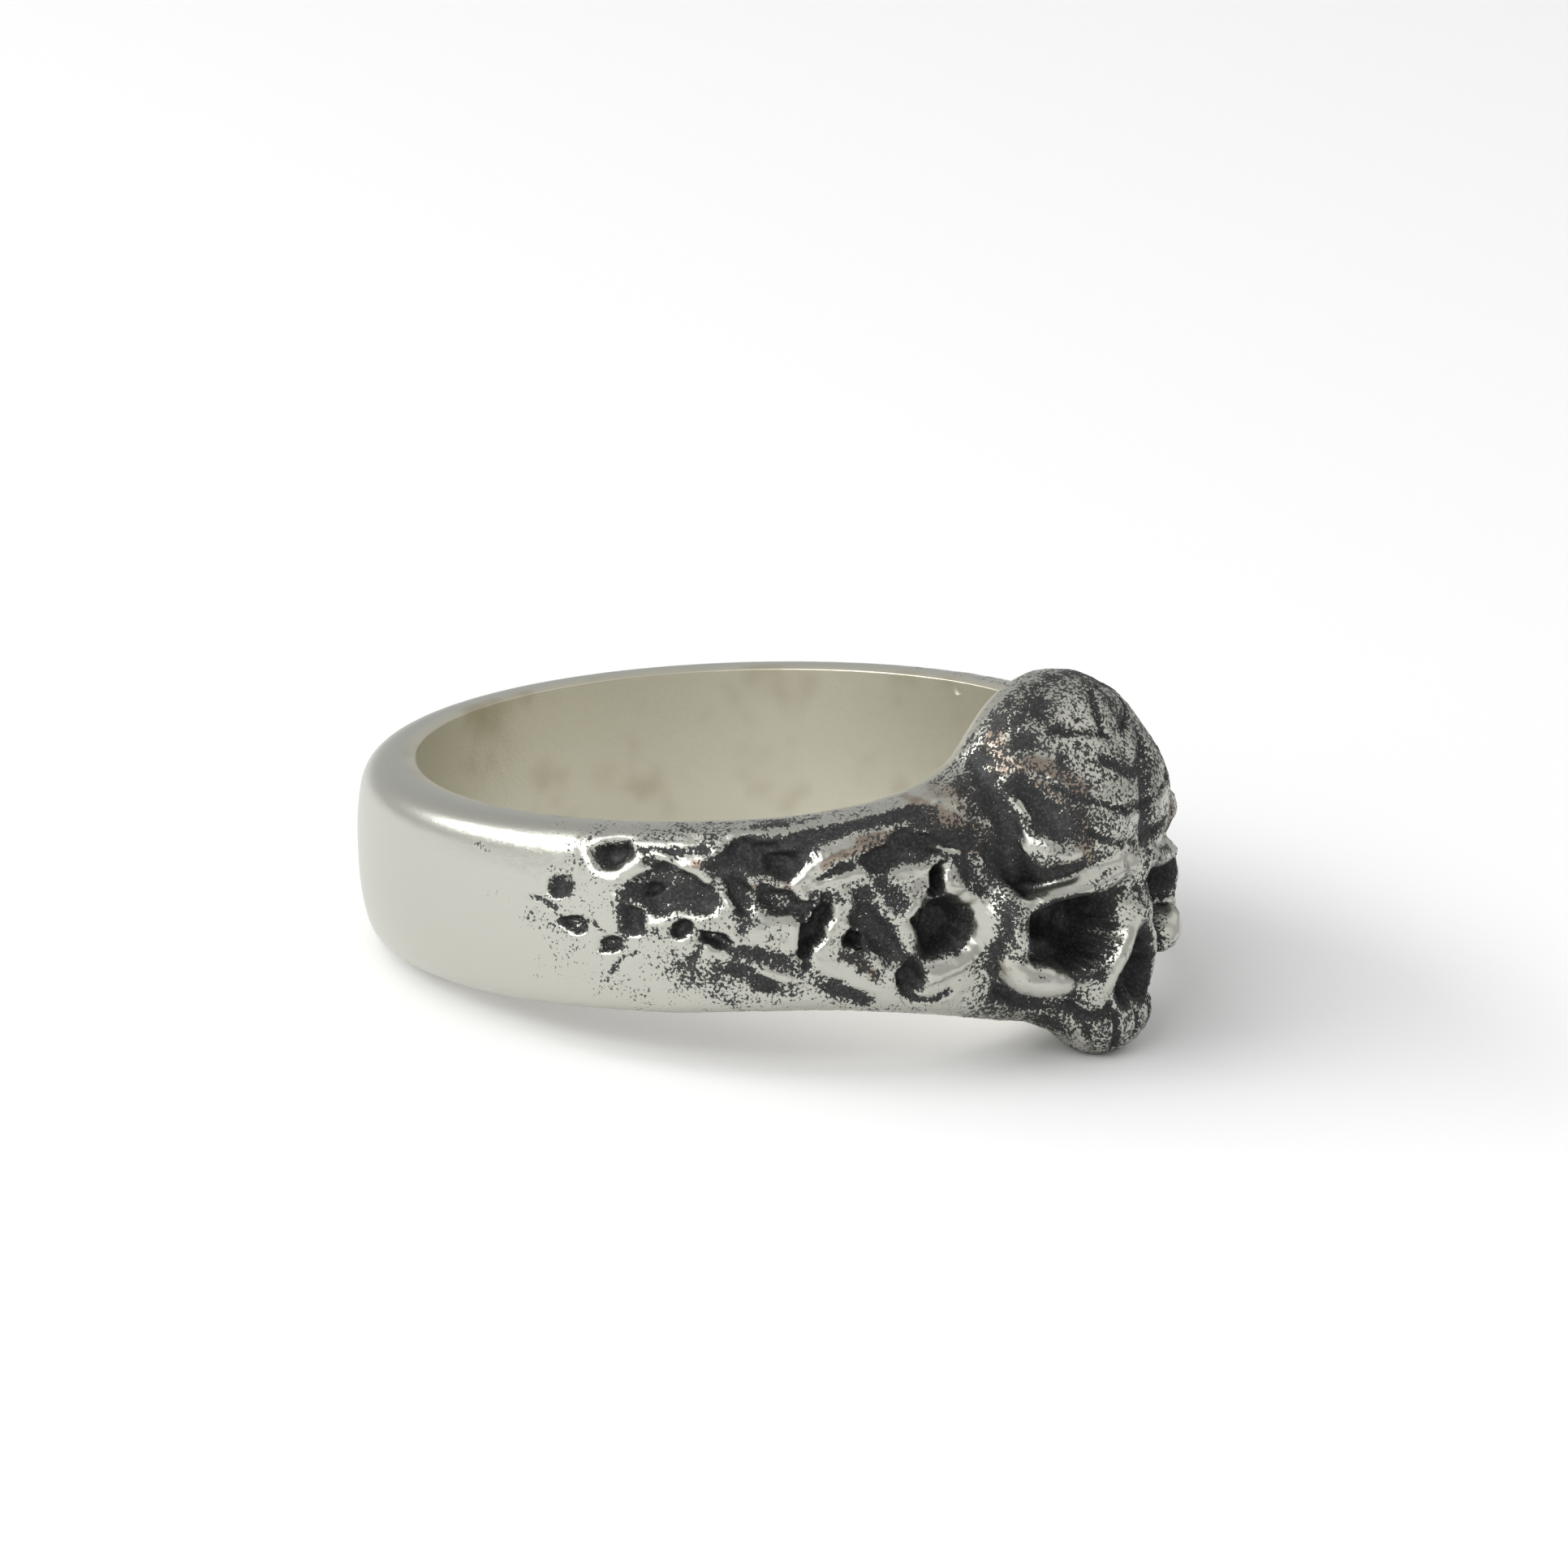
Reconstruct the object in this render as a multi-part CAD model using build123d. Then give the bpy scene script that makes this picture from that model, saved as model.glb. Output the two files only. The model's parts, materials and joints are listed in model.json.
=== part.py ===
from build123d import *
import math
import os

import numpy as np

# Finger hole and band, in millimetres
bore_radius = 9.1
band_wall = 1.75
band_height = 5.2
band_crown = 0.42
rim_round = 0.75

# Growth of the band towards the skull, over its plain height and wall
shoulder_rise = 2.3
shoulder_drop = 1.5
shoulder_swell = 0.4
shoulder_angle = 100.0

# Skull, whose middle sits a little above the middle of the band
skull_width = 8.0
skull_height = 10.9
skull_lift = 0.2
skull_reach = 4.2
skull_turn = 2.0
skull_blend = 0.45

# Openings of the face
socket_width = 3.0
socket_height = 2.05
socket_depth = 2.2
nose_width = 1.6
nose_height = 2.0
nose_depth = 1.0
temple_width = 2.6
temple_height = 2.0
temple_depth = 0.7

# Hollows and ridges cast into the shoulders
relief_depth = 1.1
relief_rim = 0.12
relief_lip = 0.22
liner_wall = 0.85

# Facets of the casting
face_columns = 54
shoulder_columns = 40
shank_columns = 16
section_rows = 44

# Angles from the middle of the skull where the facets change size
face_edge = 30.0
relief_edge = 100.0

half_height = band_height / 2
belly_radius = bore_radius + band_wall
half_width = skull_width / 2
half_tall = skull_height / 2

# Edges and belly of the band, from the skull to the plain shank.
# Columns: share of the shoulder angle, then of rise, drop and swell.
FLARE = np.array([
    (0.00, 1.00, 1.00, 1.00),
    (0.08, 0.90, 0.94, 1.00),
    (0.14, 0.62, 0.82, 0.95),
    (0.24, 0.28, 0.50, 0.85),
    (0.34, 0.13, 0.25, 0.60),
    (0.44, 0.07, 0.07, 0.35),
    (0.70, 0.03, 0.00, 0.12),
    (1.00, 0.00, 0.00, 0.00),
    (1.80, 0.00, 0.00, 0.00),
])

# Rounded masses that the skull is built up from.
# Columns: name, 1 if there is one on each side, middle (side, fore, up),
# half sizes (side, fore, up), yaw, slant and pitch in degrees, blend.
# Sides are shares of half the skull's width, fores of its reach from the
# bore's wall, ups of half its height, and blends of the skull's blend.
MASSES = [
    ("braincase", 0, 0.00, 0.26, 0.34, 0.93, 0.62, 0.65, 0, 0, 0, 1.0),
    ("frontal bone", 1, 0.22, 0.55, 0.30, 0.56, 0.42, 0.37, 8, 0, -8, 1.4),
    ("temple ridge", 1, 0.62, 0.59, 0.19, 0.22, 0.25, 0.14, 20, 0, 0, 1.0),
    ("brow", 1, 0.48, 0.76, 0.00, 0.46, 0.16, 0.072, 22, 11, 0, 0.7),
    ("glabella", 0, 0.00, 0.76, 0.05, 0.23, 0.20, 0.13, 0, 0, 0, 0.9),
    ("nose bridge", 0, 0.00, 0.78, -0.13, 0.21, 0.19, 0.24, 0, 0, 4, 0.9),
    ("nose bone", 0, 0.00, 0.83, -0.21, 0.16, 0.165, 0.11, 0, 0, 15, 0.7),
    ("nose side", 1, 0.18, 0.83, -0.41, 0.080, 0.11, 0.21, 0, -27, -17, 0.5),
    ("orbit side", 1, 0.88, 0.34, -0.20, 0.16, 0.34, 0.28, 22, 0, 0, 0.9),
    ("cheekbone", 1, 0.78, 0.61, -0.46, 0.29, 0.17, 0.090, 28, -16, 0, 0.6),
    ("cheek root", 1, 0.40, 0.69, -0.47, 0.21, 0.13, 0.052, 25, -6, 0, 0.5),
    ("maxilla", 1, 0.14, 0.49, -0.60, 0.34, 0.38, 0.26, 12, 0, 0, 0.8),
    ("teeth", 1, 0.17, 0.60, -0.77, 0.23, 0.27, 0.165, 12, 0, 0, 0.8),
    ("teeth", 0, 0.00, 0.64, -0.80, 0.30, 0.25, 0.170, 0, 0, 0, 0.8),
    ("jaw root", 0, 0.00, 0.38, -0.61, 0.56, 0.30, 0.22, 0, 0, 0, 0.9),
    ("face core", 0, 0.00, 0.27, -0.26, 0.86, 0.30, 0.48, 0, 0, 0, 0.7),
]

# Hollows of the face, with the same places and turns. The first column
# names the opening whose width, depth and height the half sizes are shares
# of, and the last is the softness of the edge.
OPENINGS = [
    ("eye", 1, 0.66, 0.84, -0.185, 0.47, 1.00, 0.40, 20, -2, 0, 0.35),
    ("eye", 1, 0.51, 0.80, -0.235, 0.29, 0.82, 0.53, 35, 0, 0, 0.35),
    ("nose", 0, 0.00, 1.02, -0.45, 0.28, 1.20, 0.42, 0, 0, 20, 0.25),
    ("nose", 1, 0.10, 0.95, -0.57, 0.30, 1.15, 0.36, 0, 0, 0, 0.25),
    ("temple", 1, 0.88, 0.69, 0.46, 0.54, 1.20, 0.31, 72, -45, 0, 0.60),
    ("temple", 1, 0.86, 0.78, 0.10, 0.46, 0.80, 0.15, 45, 8, 0, 0.45),
    ("temple", 1, 0.66, 0.68, -0.63, 0.36, 1.07, 0.20, 28, -22, 0, 0.55),
]

# Hollows of the shoulder.
# Columns: name, angle from the skull, height (share of half the band's
# height), half length and half width (shares of the band's height), turn in
# degrees, depth (share of the relief's depth), flat share of the floor, and
# rim (share of the relief's rim).
SHOULDER = [
    ("crater", 27.6, -0.20, 0.220, 0.205, 10, 0.95, 0.30, 0.8),
    ("crater spur", 28.6, 0.33, 0.135, 0.055, -76, 0.60, 0.35, 0.5),
    ("crater lobe", 31.6, -0.07, 0.092, 0.073, 9, 0.64, 0.35, 0.2),
    ("crater foot", 33.4, -0.66, 0.140, 0.070, -66, 0.36, 0.30, 0.0),
    ("long hollow", 38.7, -0.10, 0.300, 0.120, 64, 0.30, 0.30, 0.2),
    ("long hollow pit", 41.6, -0.20, 0.070, 0.062, 6, 0.48, 0.20, 0.0),
    ("top hollow", 30.8, 0.75, 0.230, 0.080, 9, 0.22, 0.20, 0.0),
    ("top dip", 36.7, 0.66, 0.150, 0.085, 7, 0.25, 0.20, 0.0),
    ("slot", 47.6, -0.02, 0.220, 0.080, -70, 0.55, 0.35, 0.4),
    ("broad hollow", 56.2, 0.74, 0.290, 0.110, -8, 0.27, 0.20, 0.0),
    ("deep hollow", 52.2, 0.68, 0.165, 0.115, 3, 0.42, 0.25, 0.2),
    ("mid hollow", 52.6, 0.27, 0.190, 0.110, 8, 0.30, 0.25, 0.0),
    ("crescent", 58.2, 0.38, 0.190, 0.072, 53, 0.24, 0.30, 0.2),
    ("oval", 67.8, 0.39, 0.305, 0.155, 8, 0.31, 0.45, 0.4),
    ("oval pit", 70.9, 0.42, 0.085, 0.080, 0, 0.52, 0.20, 0.0),
    ("oval lobe", 74.2, 0.10, 0.085, 0.120, 0, 0.24, 0.30, 0.0),
    ("round pit", 77.3, 0.77, 0.132, 0.100, -22, 0.36, 0.40, 0.6),
    ("pit one", 66.4, 0.00, 0.080, 0.070, 0, 0.28, 0.30, 0.0),
    ("pit two", 62.2, -0.12, 0.095, 0.062, 0, 0.32, 0.30, 0.2),
    ("pit three", 85.6, 0.43, 0.110, 0.075, -5, 0.20, 0.30, 0.0),
    ("pit four", 83.0, 0.05, 0.090, 0.058, -5, 0.22, 0.30, 0.0),
    ("pit five", 77.7, -0.20, 0.085, 0.060, 12, 0.24, 0.30, 0.0),
]

OPENING_SIZES = {
    "eye": (socket_width, socket_depth, socket_height),
    "nose": (nose_width, nose_depth, nose_height),
    "temple": (temple_width, temple_depth, temple_height),
}


def joined(one, other, blend):
    """Distance to two masses run together over a soft fillet."""
    share = np.clip(0.5 + 0.5 * (other - one) / blend, 0, 1)
    return other + (one - other) * share - blend * share * (1 - share)


def hollowed(mass, hollow, blend):
    """Distance to a mass with a hollow taken out of it, its edge softened."""
    return -joined(-mass, hollow, blend)


def ramp(low, high, value):
    """Smooth step from 0 at low to 1 at high."""
    share = np.clip((value - low) / (high - low), 0, 1)
    return share * share * (3 - 2 * share)


def rounded_mass(point, middle, half, yaw, slant, pitch):
    """Distance to an egg shape that is turned, tipped sideways and nodded."""
    side, fore, up = (point[i] - middle[i] for i in range(3))
    cos, sin = math.cos(math.radians(yaw)), math.sin(math.radians(yaw))
    side, fore = side * cos - fore * sin, side * sin + fore * cos
    cos, sin = math.cos(math.radians(slant)), math.sin(math.radians(slant))
    side, up = side * cos - up * sin, side * sin + up * cos
    cos, sin = math.cos(math.radians(pitch)), math.sin(math.radians(pitch))
    fore, up = fore * cos + up * sin, up * cos - fore * sin
    near = np.sqrt((side / half[0]) ** 2 + (fore / half[1]) ** 2 + (up / half[2]) ** 2)
    slope = np.sqrt((side / half[0] ** 2) ** 2 + (fore / half[1] ** 2) ** 2 + (up / half[2] ** 2) ** 2)
    return near * (near - 1) / np.maximum(slope, 1e-9)


def flare(angle):
    """Top edge, bottom edge and belly radius of the band at an angle."""
    share = np.abs(angle) / shoulder_angle
    knots = FLARE[:, 0]
    cell = np.clip(np.searchsorted(knots, share) - 1, 0, len(knots) - 2)
    width = knots[cell + 1] - knots[cell]
    step = np.clip((share - knots[cell]) / width, 0, 1)
    found = []
    for column in (1, 2, 3):
        values = FLARE[:, column]
        slopes = np.gradient(values, knots)
        slopes[0] = 0
        low, high = values[cell], values[cell + 1]
        bend_low, bend_high = width * slopes[cell], width * slopes[cell + 1]
        curve = low + step * step * (3 - 2 * step) * (high - low)
        curve += step * (1 - step) ** 2 * bend_low - step * step * (1 - step) * bend_high
        found.append(curve)
    rise, drop, swell = found
    return (half_height + shoulder_rise * rise, -half_height - shoulder_drop * drop,
            belly_radius + shoulder_swell * swell)


def band(point):
    """Distance to the D-shaped band, open to the bore."""
    side, fore, up = point
    top, bottom, belly = flare(np.degrees(np.arctan2(side, fore)))
    middle, half = (top + bottom) / 2, (top - bottom) / 2
    rise = np.abs(up - middle)
    crown = band_crown * (rise / half) ** 2.6
    return hollowed(np.hypot(side, fore) - belly + crown, half - rise, rim_round)


def relief(point):
    """How far the shoulder's surface lies below the plain band's."""
    side, fore, up = point
    angle = np.degrees(np.arctan2(side, fore))
    top, bottom, belly = flare(angle)
    edge = np.abs(2 * up - top - bottom) / (top - bottom)
    hand = np.sign(angle)
    along = np.radians(np.abs(angle)) * belly_radius
    wave = band_height / 52
    turn = 2 * math.pi / band_height
    stray_along = along + wave * np.sin(2.6 * turn * up + 1.1 * turn * along + hand)
    stray_up = up + wave * np.sin(2.3 * turn * along - 0.9 * turn * up + 1 + hand)
    cut = np.zeros_like(along)
    raised = np.zeros_like(along)
    for name, place, height, length, width, slope, depth, floor, rim in SHOULDER:
        cos, sin = math.cos(math.radians(slope)), math.sin(math.radians(slope))
        across = stray_along - math.radians(place) * belly_radius
        above = stray_up - height * half_height
        far = np.hypot((across * cos + above * sin) / length,
                       (above * cos - across * sin) / width) / band_height
        cut = np.maximum(cut, depth * relief_depth * (1 - ramp(floor, 1.0, far)))
        lip = relief_lip / (band_height * math.sqrt(length * width))
        crest = rim * relief_rim * np.exp(-((far - 1 - lip) / lip) ** 2)
        raised = np.maximum(raised, crest)
    whole = 1 - ramp(0.02 * relief_depth, 0.12 * relief_depth, cut)
    return (cut - raised * whole) * (1 - ramp(0.82, 1.0, edge))


def face_point(point):
    """A point as the skull has it, which is turned a little on the band."""
    side, fore, up = point
    axis = bore_radius + skull_reach / 2
    cos, sin = math.cos(math.radians(skull_turn)), math.sin(math.radians(skull_turn))
    side, fore = side * cos - (fore - axis) * sin, side * sin + (fore - axis) * cos
    return side, fore + axis, up


def middle_of(row):
    """Middle of a mass or hollow of the skull, from its shares."""
    return (row[2] * half_width, bore_radius + row[3] * skull_reach,
            skull_lift + row[4] * half_tall)


def skull(point):
    """Distance to the bones of the skull, run together."""
    whole = face_point(point)
    paired = (np.abs(whole[0]), whole[1], whole[2])
    bones = None
    for row in MASSES:
        half = (row[5] * half_width, row[6] * skull_reach, row[7] * half_tall)
        mass = rounded_mass(paired if row[1] else whole, middle_of(row), half, *row[8:11])
        bones = mass if bones is None else joined(bones, mass, row[11] * skull_blend)
    return bones


def opened(point, mass):
    """The eyes, nose, temples and cheeks hollowed out."""
    whole = face_point(point)
    paired = (np.abs(whole[0]), whole[1], whole[2])
    for row in OPENINGS:
        size = OPENING_SIZES[row[0]]
        half = tuple(row[5 + i] * size[i] for i in range(3))
        hollow = rounded_mass(paired if row[1] else whole, middle_of(row), half, *row[8:11])
        mass = hollowed(mass, hollow, row[11] * skull_blend)
    return mass


def bore_side(point):
    """Rounds the rims into the bore, short of its wall, which is cut true."""
    inner = bore_radius - rim_round / 2
    return inner - np.hypot(point[0], point[1])


def blank(point):
    """The casting's main form, with nothing hollowed out."""
    mass = joined(band(point), skull(point), skull_blend)
    return hollowed(mass, -bore_side(point), rim_round)


def casting(point):
    """The whole casting, down to the liner that closes the eyes' floors."""
    mass = joined(band(point) + relief(point), skull(point), skull_blend)
    mass = opened(point, mass)
    liner = np.hypot(point[0], point[1]) - bore_radius - liner_wall
    mass = np.minimum(mass, np.maximum(liner, np.abs(point[2]) - half_height + rim_round / 2))
    return hollowed(mass, -bore_side(point), rim_round)


def columns():
    """Angles of the sections, close together at the face."""
    face = np.linspace(-face_edge, face_edge, face_columns, endpoint=False)
    near = np.linspace(face_edge, relief_edge, shoulder_columns, endpoint=False)
    shank = np.linspace(relief_edge, 360 - relief_edge, shank_columns, endpoint=False)
    far = np.linspace(360 - relief_edge, 360 - face_edge, shoulder_columns, endpoint=False)
    return np.concatenate([face, near, shank, far])


def shoot(form, angles, place, tries=26):
    """Points where rays from inside the metal leave the form.

    place runs from 0 to 1 round a section: up the outside, over the top,
    down the bore and back underneath.
    """
    splay = 25
    stops = [0, 0.5, 0.7, 0.8, 1]
    share = np.interp(place, stops, [-1, 1, 1, -1, -1])
    lean = np.radians(np.interp(place, stops, [-splay, splay, 180, 180, 360 - splay]))
    turn = np.radians(angles)[:, None]
    top, bottom, belly = flare((angles + 180) % 360 - 180)
    margin = band_wall / 2
    middle = ((top + bottom) / 2)[:, None]
    start_up = middle + ((top - bottom) / 2 - margin)[:, None] * share
    start_out = bore_radius + 0.3 * band_wall
    longest = skull_reach + band_wall
    run = np.full(start_up.shape, longest)
    for attempt in range(tries):
        out, up = start_out + np.cos(lean) * run, start_up + np.sin(lean) * run
        gap = form((out * np.sin(turn), out * np.cos(turn), up))
        run = np.clip(run - 0.85 * gap, 0, longest)
    out, up = start_out + np.cos(lean) * run, start_up + np.sin(lean) * run
    return np.stack([out * np.sin(turn), out * np.cos(turn), up], -1)


def spread_rows(angles):
    """Places round each section that space its rows evenly on the blank."""
    fine = 4 * section_rows
    place = np.repeat(np.linspace(0, 1, fine, endpoint=False)[None], len(angles), 0)
    ring = shoot(blank, angles, place, 14)
    length = np.linalg.norm(np.roll(ring, -1, 1) - ring, axis=-1) + 1e-4
    bore_share = 0.12
    length = np.where((place > 0.68) & (place < 0.82), bore_share * length, length)
    for smoothing in range(4):
        length = (np.roll(length, 1, 0) + 2 * length + np.roll(length, -1, 0)) / 4
    total = np.concatenate([np.zeros((len(angles), 1)), np.cumsum(length, 1)], 1)
    ends = np.concatenate([place, np.ones((len(angles), 1))], 1)
    wanted = np.arange(section_rows) / section_rows
    return np.stack([np.interp(wanted * t[-1], t, e) for t, e in zip(total, ends)])


def rest_tilt(points):
    """Angle that sets the chin and the back of the band on one surface."""
    fore, up = points[..., 1], points[..., 2]
    low, high = 0.0, math.radians(30)
    for halving in range(40):
        tilt = (low + high) / 2
        level = up * math.cos(tilt) + fore * math.sin(tilt)
        if level[fore > 0].min() < level[fore < 0].min():
            low = tilt
        else:
            high = tilt
    return tilt


def faceted(points):
    """Closed solid with two triangles on each cell of the grid."""
    grid = [[Vector(*spot) for spot in line] for line in points]
    faces = []
    for i, line in enumerate(grid):
        ahead = grid[(i + 1) % len(grid)]
        for j, spot in enumerate(line):
            k = (j + 1) % len(line)
            for corners in ((spot, ahead[j], ahead[k]), (spot, ahead[k], line[k])):
                faces.append(Face(Wire.make_polygon(corners, close=True)))
    return Solid(Shell(faces))


def build_ring():
    """The casting with its bore cut true, as it lies on a surface."""
    angles = columns()
    points = shoot(casting, angles, spread_rows(angles))
    tilt = math.degrees(rest_tilt(points))
    body = faceted(points * np.array([-1, -1, 1]))
    body -= Cylinder(bore_radius, 4 * skull_height)
    body = Rot(-tilt, 0, 0) * body
    box = body.bounding_box()
    middle = (box.min + box.max) / 2
    shift = Vector(-middle.X, -middle.Y, -box.min.Z)
    print("rest tilt", round(tilt, 3), "bore centre", Vector(0, 0, 0) + shift)
    return Pos(*shift) * body


os.makedirs("parts", exist_ok=True)
ring = build_ring()
ring.label = "skull_ring"
export_step(ring, "parts/skull_ring.step")
print("volume", ring.volume, "faces", len(ring.faces()))
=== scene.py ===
import json
import math

import bpy
import numpy as np
from mathutils import Matrix, Vector, noise


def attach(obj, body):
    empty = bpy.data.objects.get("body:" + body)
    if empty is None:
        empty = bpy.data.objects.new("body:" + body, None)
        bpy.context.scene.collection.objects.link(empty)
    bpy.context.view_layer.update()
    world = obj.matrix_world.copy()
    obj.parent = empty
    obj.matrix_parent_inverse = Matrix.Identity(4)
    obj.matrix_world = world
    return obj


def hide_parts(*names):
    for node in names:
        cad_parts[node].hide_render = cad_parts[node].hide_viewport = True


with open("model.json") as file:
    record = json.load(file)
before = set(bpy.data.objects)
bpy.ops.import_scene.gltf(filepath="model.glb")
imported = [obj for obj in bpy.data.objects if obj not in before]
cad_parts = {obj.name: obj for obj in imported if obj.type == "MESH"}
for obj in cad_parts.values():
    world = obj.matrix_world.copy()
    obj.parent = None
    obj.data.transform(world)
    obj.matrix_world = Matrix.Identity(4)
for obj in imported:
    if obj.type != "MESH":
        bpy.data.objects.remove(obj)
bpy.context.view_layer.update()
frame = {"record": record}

# The whole ring is one casting in silver: a D-shaped band that grows towards
# the front, pitted shoulders, and a skull. After casting it was blackened all
# over, and the high places and the plain band were polished bright again.

# Finger hole and band. Lengths are in millimetres and angles in degrees until
# the mesh is made.
bore_radius = 9.1
band_wall = 1.75
band_height = 5.2
band_crown = 0.42
crown_power = 2.6
rim_round = 0.75

# Growth of the band towards the skull, over its plain height and wall
shoulder_rise = 2.3
shoulder_drop = 1.5
shoulder_swell = 0.4
shoulder_angle = 100.0

# Skull, whose middle sits a little above the middle of the band
skull_width = 8.0
skull_height = 10.9
skull_lift = 0.2
skull_reach = 4.2
skull_turn = 2.0
skull_blend = 0.45

# Openings of the face
socket_width = 3.0
socket_height = 2.05
socket_depth = 2.2
nose_width = 1.6
nose_height = 2.0
nose_depth = 1.0
temple_width = 2.6
temple_height = 2.0
temple_depth = 0.7

# Hollows cast into the shoulders, and the metal left between the eyes and the bore
relief_depth = 1.1
relief_rim = 0.12
relief_lip = 0.22
relief_stray = 0.1
liner_wall = 0.85

half_height = band_height / 2
belly_radius = bore_radius + band_wall
half_width = skull_width / 2
half_tall = skull_height / 2

# Vertices of the casting's mesh: columns round the ring and rows round a section
face_columns = 168
shoulder_columns = 120
shank_columns = 62
section_rows = 200
face_edge = 30.0
relief_edge = 100.0

# Edges and belly of the band, from the skull to the plain shank.
# Columns: share of the shoulder angle, then of rise, drop and swell.
FLARE = np.array([
    (0.00, 1.00, 1.00, 1.00),
    (0.08, 0.90, 0.94, 1.00),
    (0.14, 0.62, 0.82, 0.95),
    (0.24, 0.28, 0.50, 0.85),
    (0.34, 0.13, 0.25, 0.60),
    (0.44, 0.07, 0.07, 0.35),
    (0.70, 0.03, 0.00, 0.12),
    (1.00, 0.00, 0.00, 0.00),
    (1.80, 0.00, 0.00, 0.00),
])

# Rounded masses that the skull is built up from.
# Columns: name, 1 if there is one on each side, middle (side, fore, up),
# half sizes (side, fore, up), yaw, slant and pitch in degrees, blend.
# Sides are shares of half the skull's width, fores of its reach from the
# bore's wall, ups of half its height, and blends of the skull's blend.
MASSES = [
    ("braincase", 0, 0.00, 0.26, 0.34, 0.93, 0.62, 0.65, 0, 0, 0, 1.0),
    ("frontal bone", 1, 0.22, 0.55, 0.30, 0.56, 0.42, 0.37, 8, 0, -8, 1.4),
    ("temple ridge", 1, 0.62, 0.59, 0.19, 0.22, 0.25, 0.14, 20, 0, 0, 1.0),
    ("brow", 1, 0.48, 0.76, 0.00, 0.46, 0.16, 0.072, 22, 11, 0, 0.7),
    ("glabella", 0, 0.00, 0.76, 0.05, 0.23, 0.20, 0.13, 0, 0, 0, 0.9),
    ("nose bridge", 0, 0.00, 0.78, -0.13, 0.21, 0.19, 0.24, 0, 0, 4, 0.9),
    ("nose bone", 0, 0.00, 0.83, -0.21, 0.16, 0.165, 0.11, 0, 0, 15, 0.7),
    ("nose side", 1, 0.18, 0.83, -0.41, 0.080, 0.11, 0.21, 0, -27, -17, 0.5),
    ("orbit side", 1, 0.88, 0.34, -0.20, 0.16, 0.34, 0.28, 22, 0, 0, 0.9),
    ("cheekbone", 1, 0.78, 0.61, -0.46, 0.29, 0.17, 0.090, 28, -16, 0, 0.6),
    ("cheek root", 1, 0.40, 0.69, -0.47, 0.21, 0.13, 0.052, 25, -6, 0, 0.5),
    ("maxilla", 1, 0.14, 0.49, -0.60, 0.34, 0.38, 0.26, 12, 0, 0, 0.8),
    ("teeth", 1, 0.17, 0.60, -0.77, 0.23, 0.27, 0.165, 12, 0, 0, 0.8),
    ("teeth", 0, 0.00, 0.64, -0.80, 0.30, 0.25, 0.170, 0, 0, 0, 0.8),
    ("jaw root", 0, 0.00, 0.38, -0.61, 0.56, 0.30, 0.22, 0, 0, 0, 0.9),
    ("face core", 0, 0.00, 0.27, -0.26, 0.86, 0.30, 0.48, 0, 0, 0, 0.7),
]

# Hollows of the face, with the same places and turns. The first column
# names the opening whose width, depth and height the half sizes are shares
# of, and the last is the softness of the edge.
OPENINGS = [
    ("eye", 1, 0.66, 0.84, -0.185, 0.47, 1.00, 0.40, 20, -2, 0, 0.35),
    ("eye", 1, 0.51, 0.80, -0.235, 0.29, 0.82, 0.53, 35, 0, 0, 0.35),
    ("nose", 0, 0.00, 1.02, -0.45, 0.28, 1.20, 0.42, 0, 0, 20, 0.25),
    ("nose", 1, 0.10, 0.95, -0.57, 0.30, 1.15, 0.36, 0, 0, 0, 0.25),
    ("temple", 1, 0.88, 0.69, 0.46, 0.54, 1.20, 0.31, 72, -45, 0, 0.60),
    ("temple", 1, 0.86, 0.78, 0.10, 0.46, 0.80, 0.15, 45, 8, 0, 0.45),
    ("temple", 1, 0.66, 0.68, -0.63, 0.36, 1.07, 0.20, 28, -22, 0, 0.55),
]

OPENING_SIZES = {
    "eye": (socket_width, socket_depth, socket_height),
    "nose": (nose_width, nose_depth, nose_height),
    "temple": (temple_width, temple_depth, temple_height),
}

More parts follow.
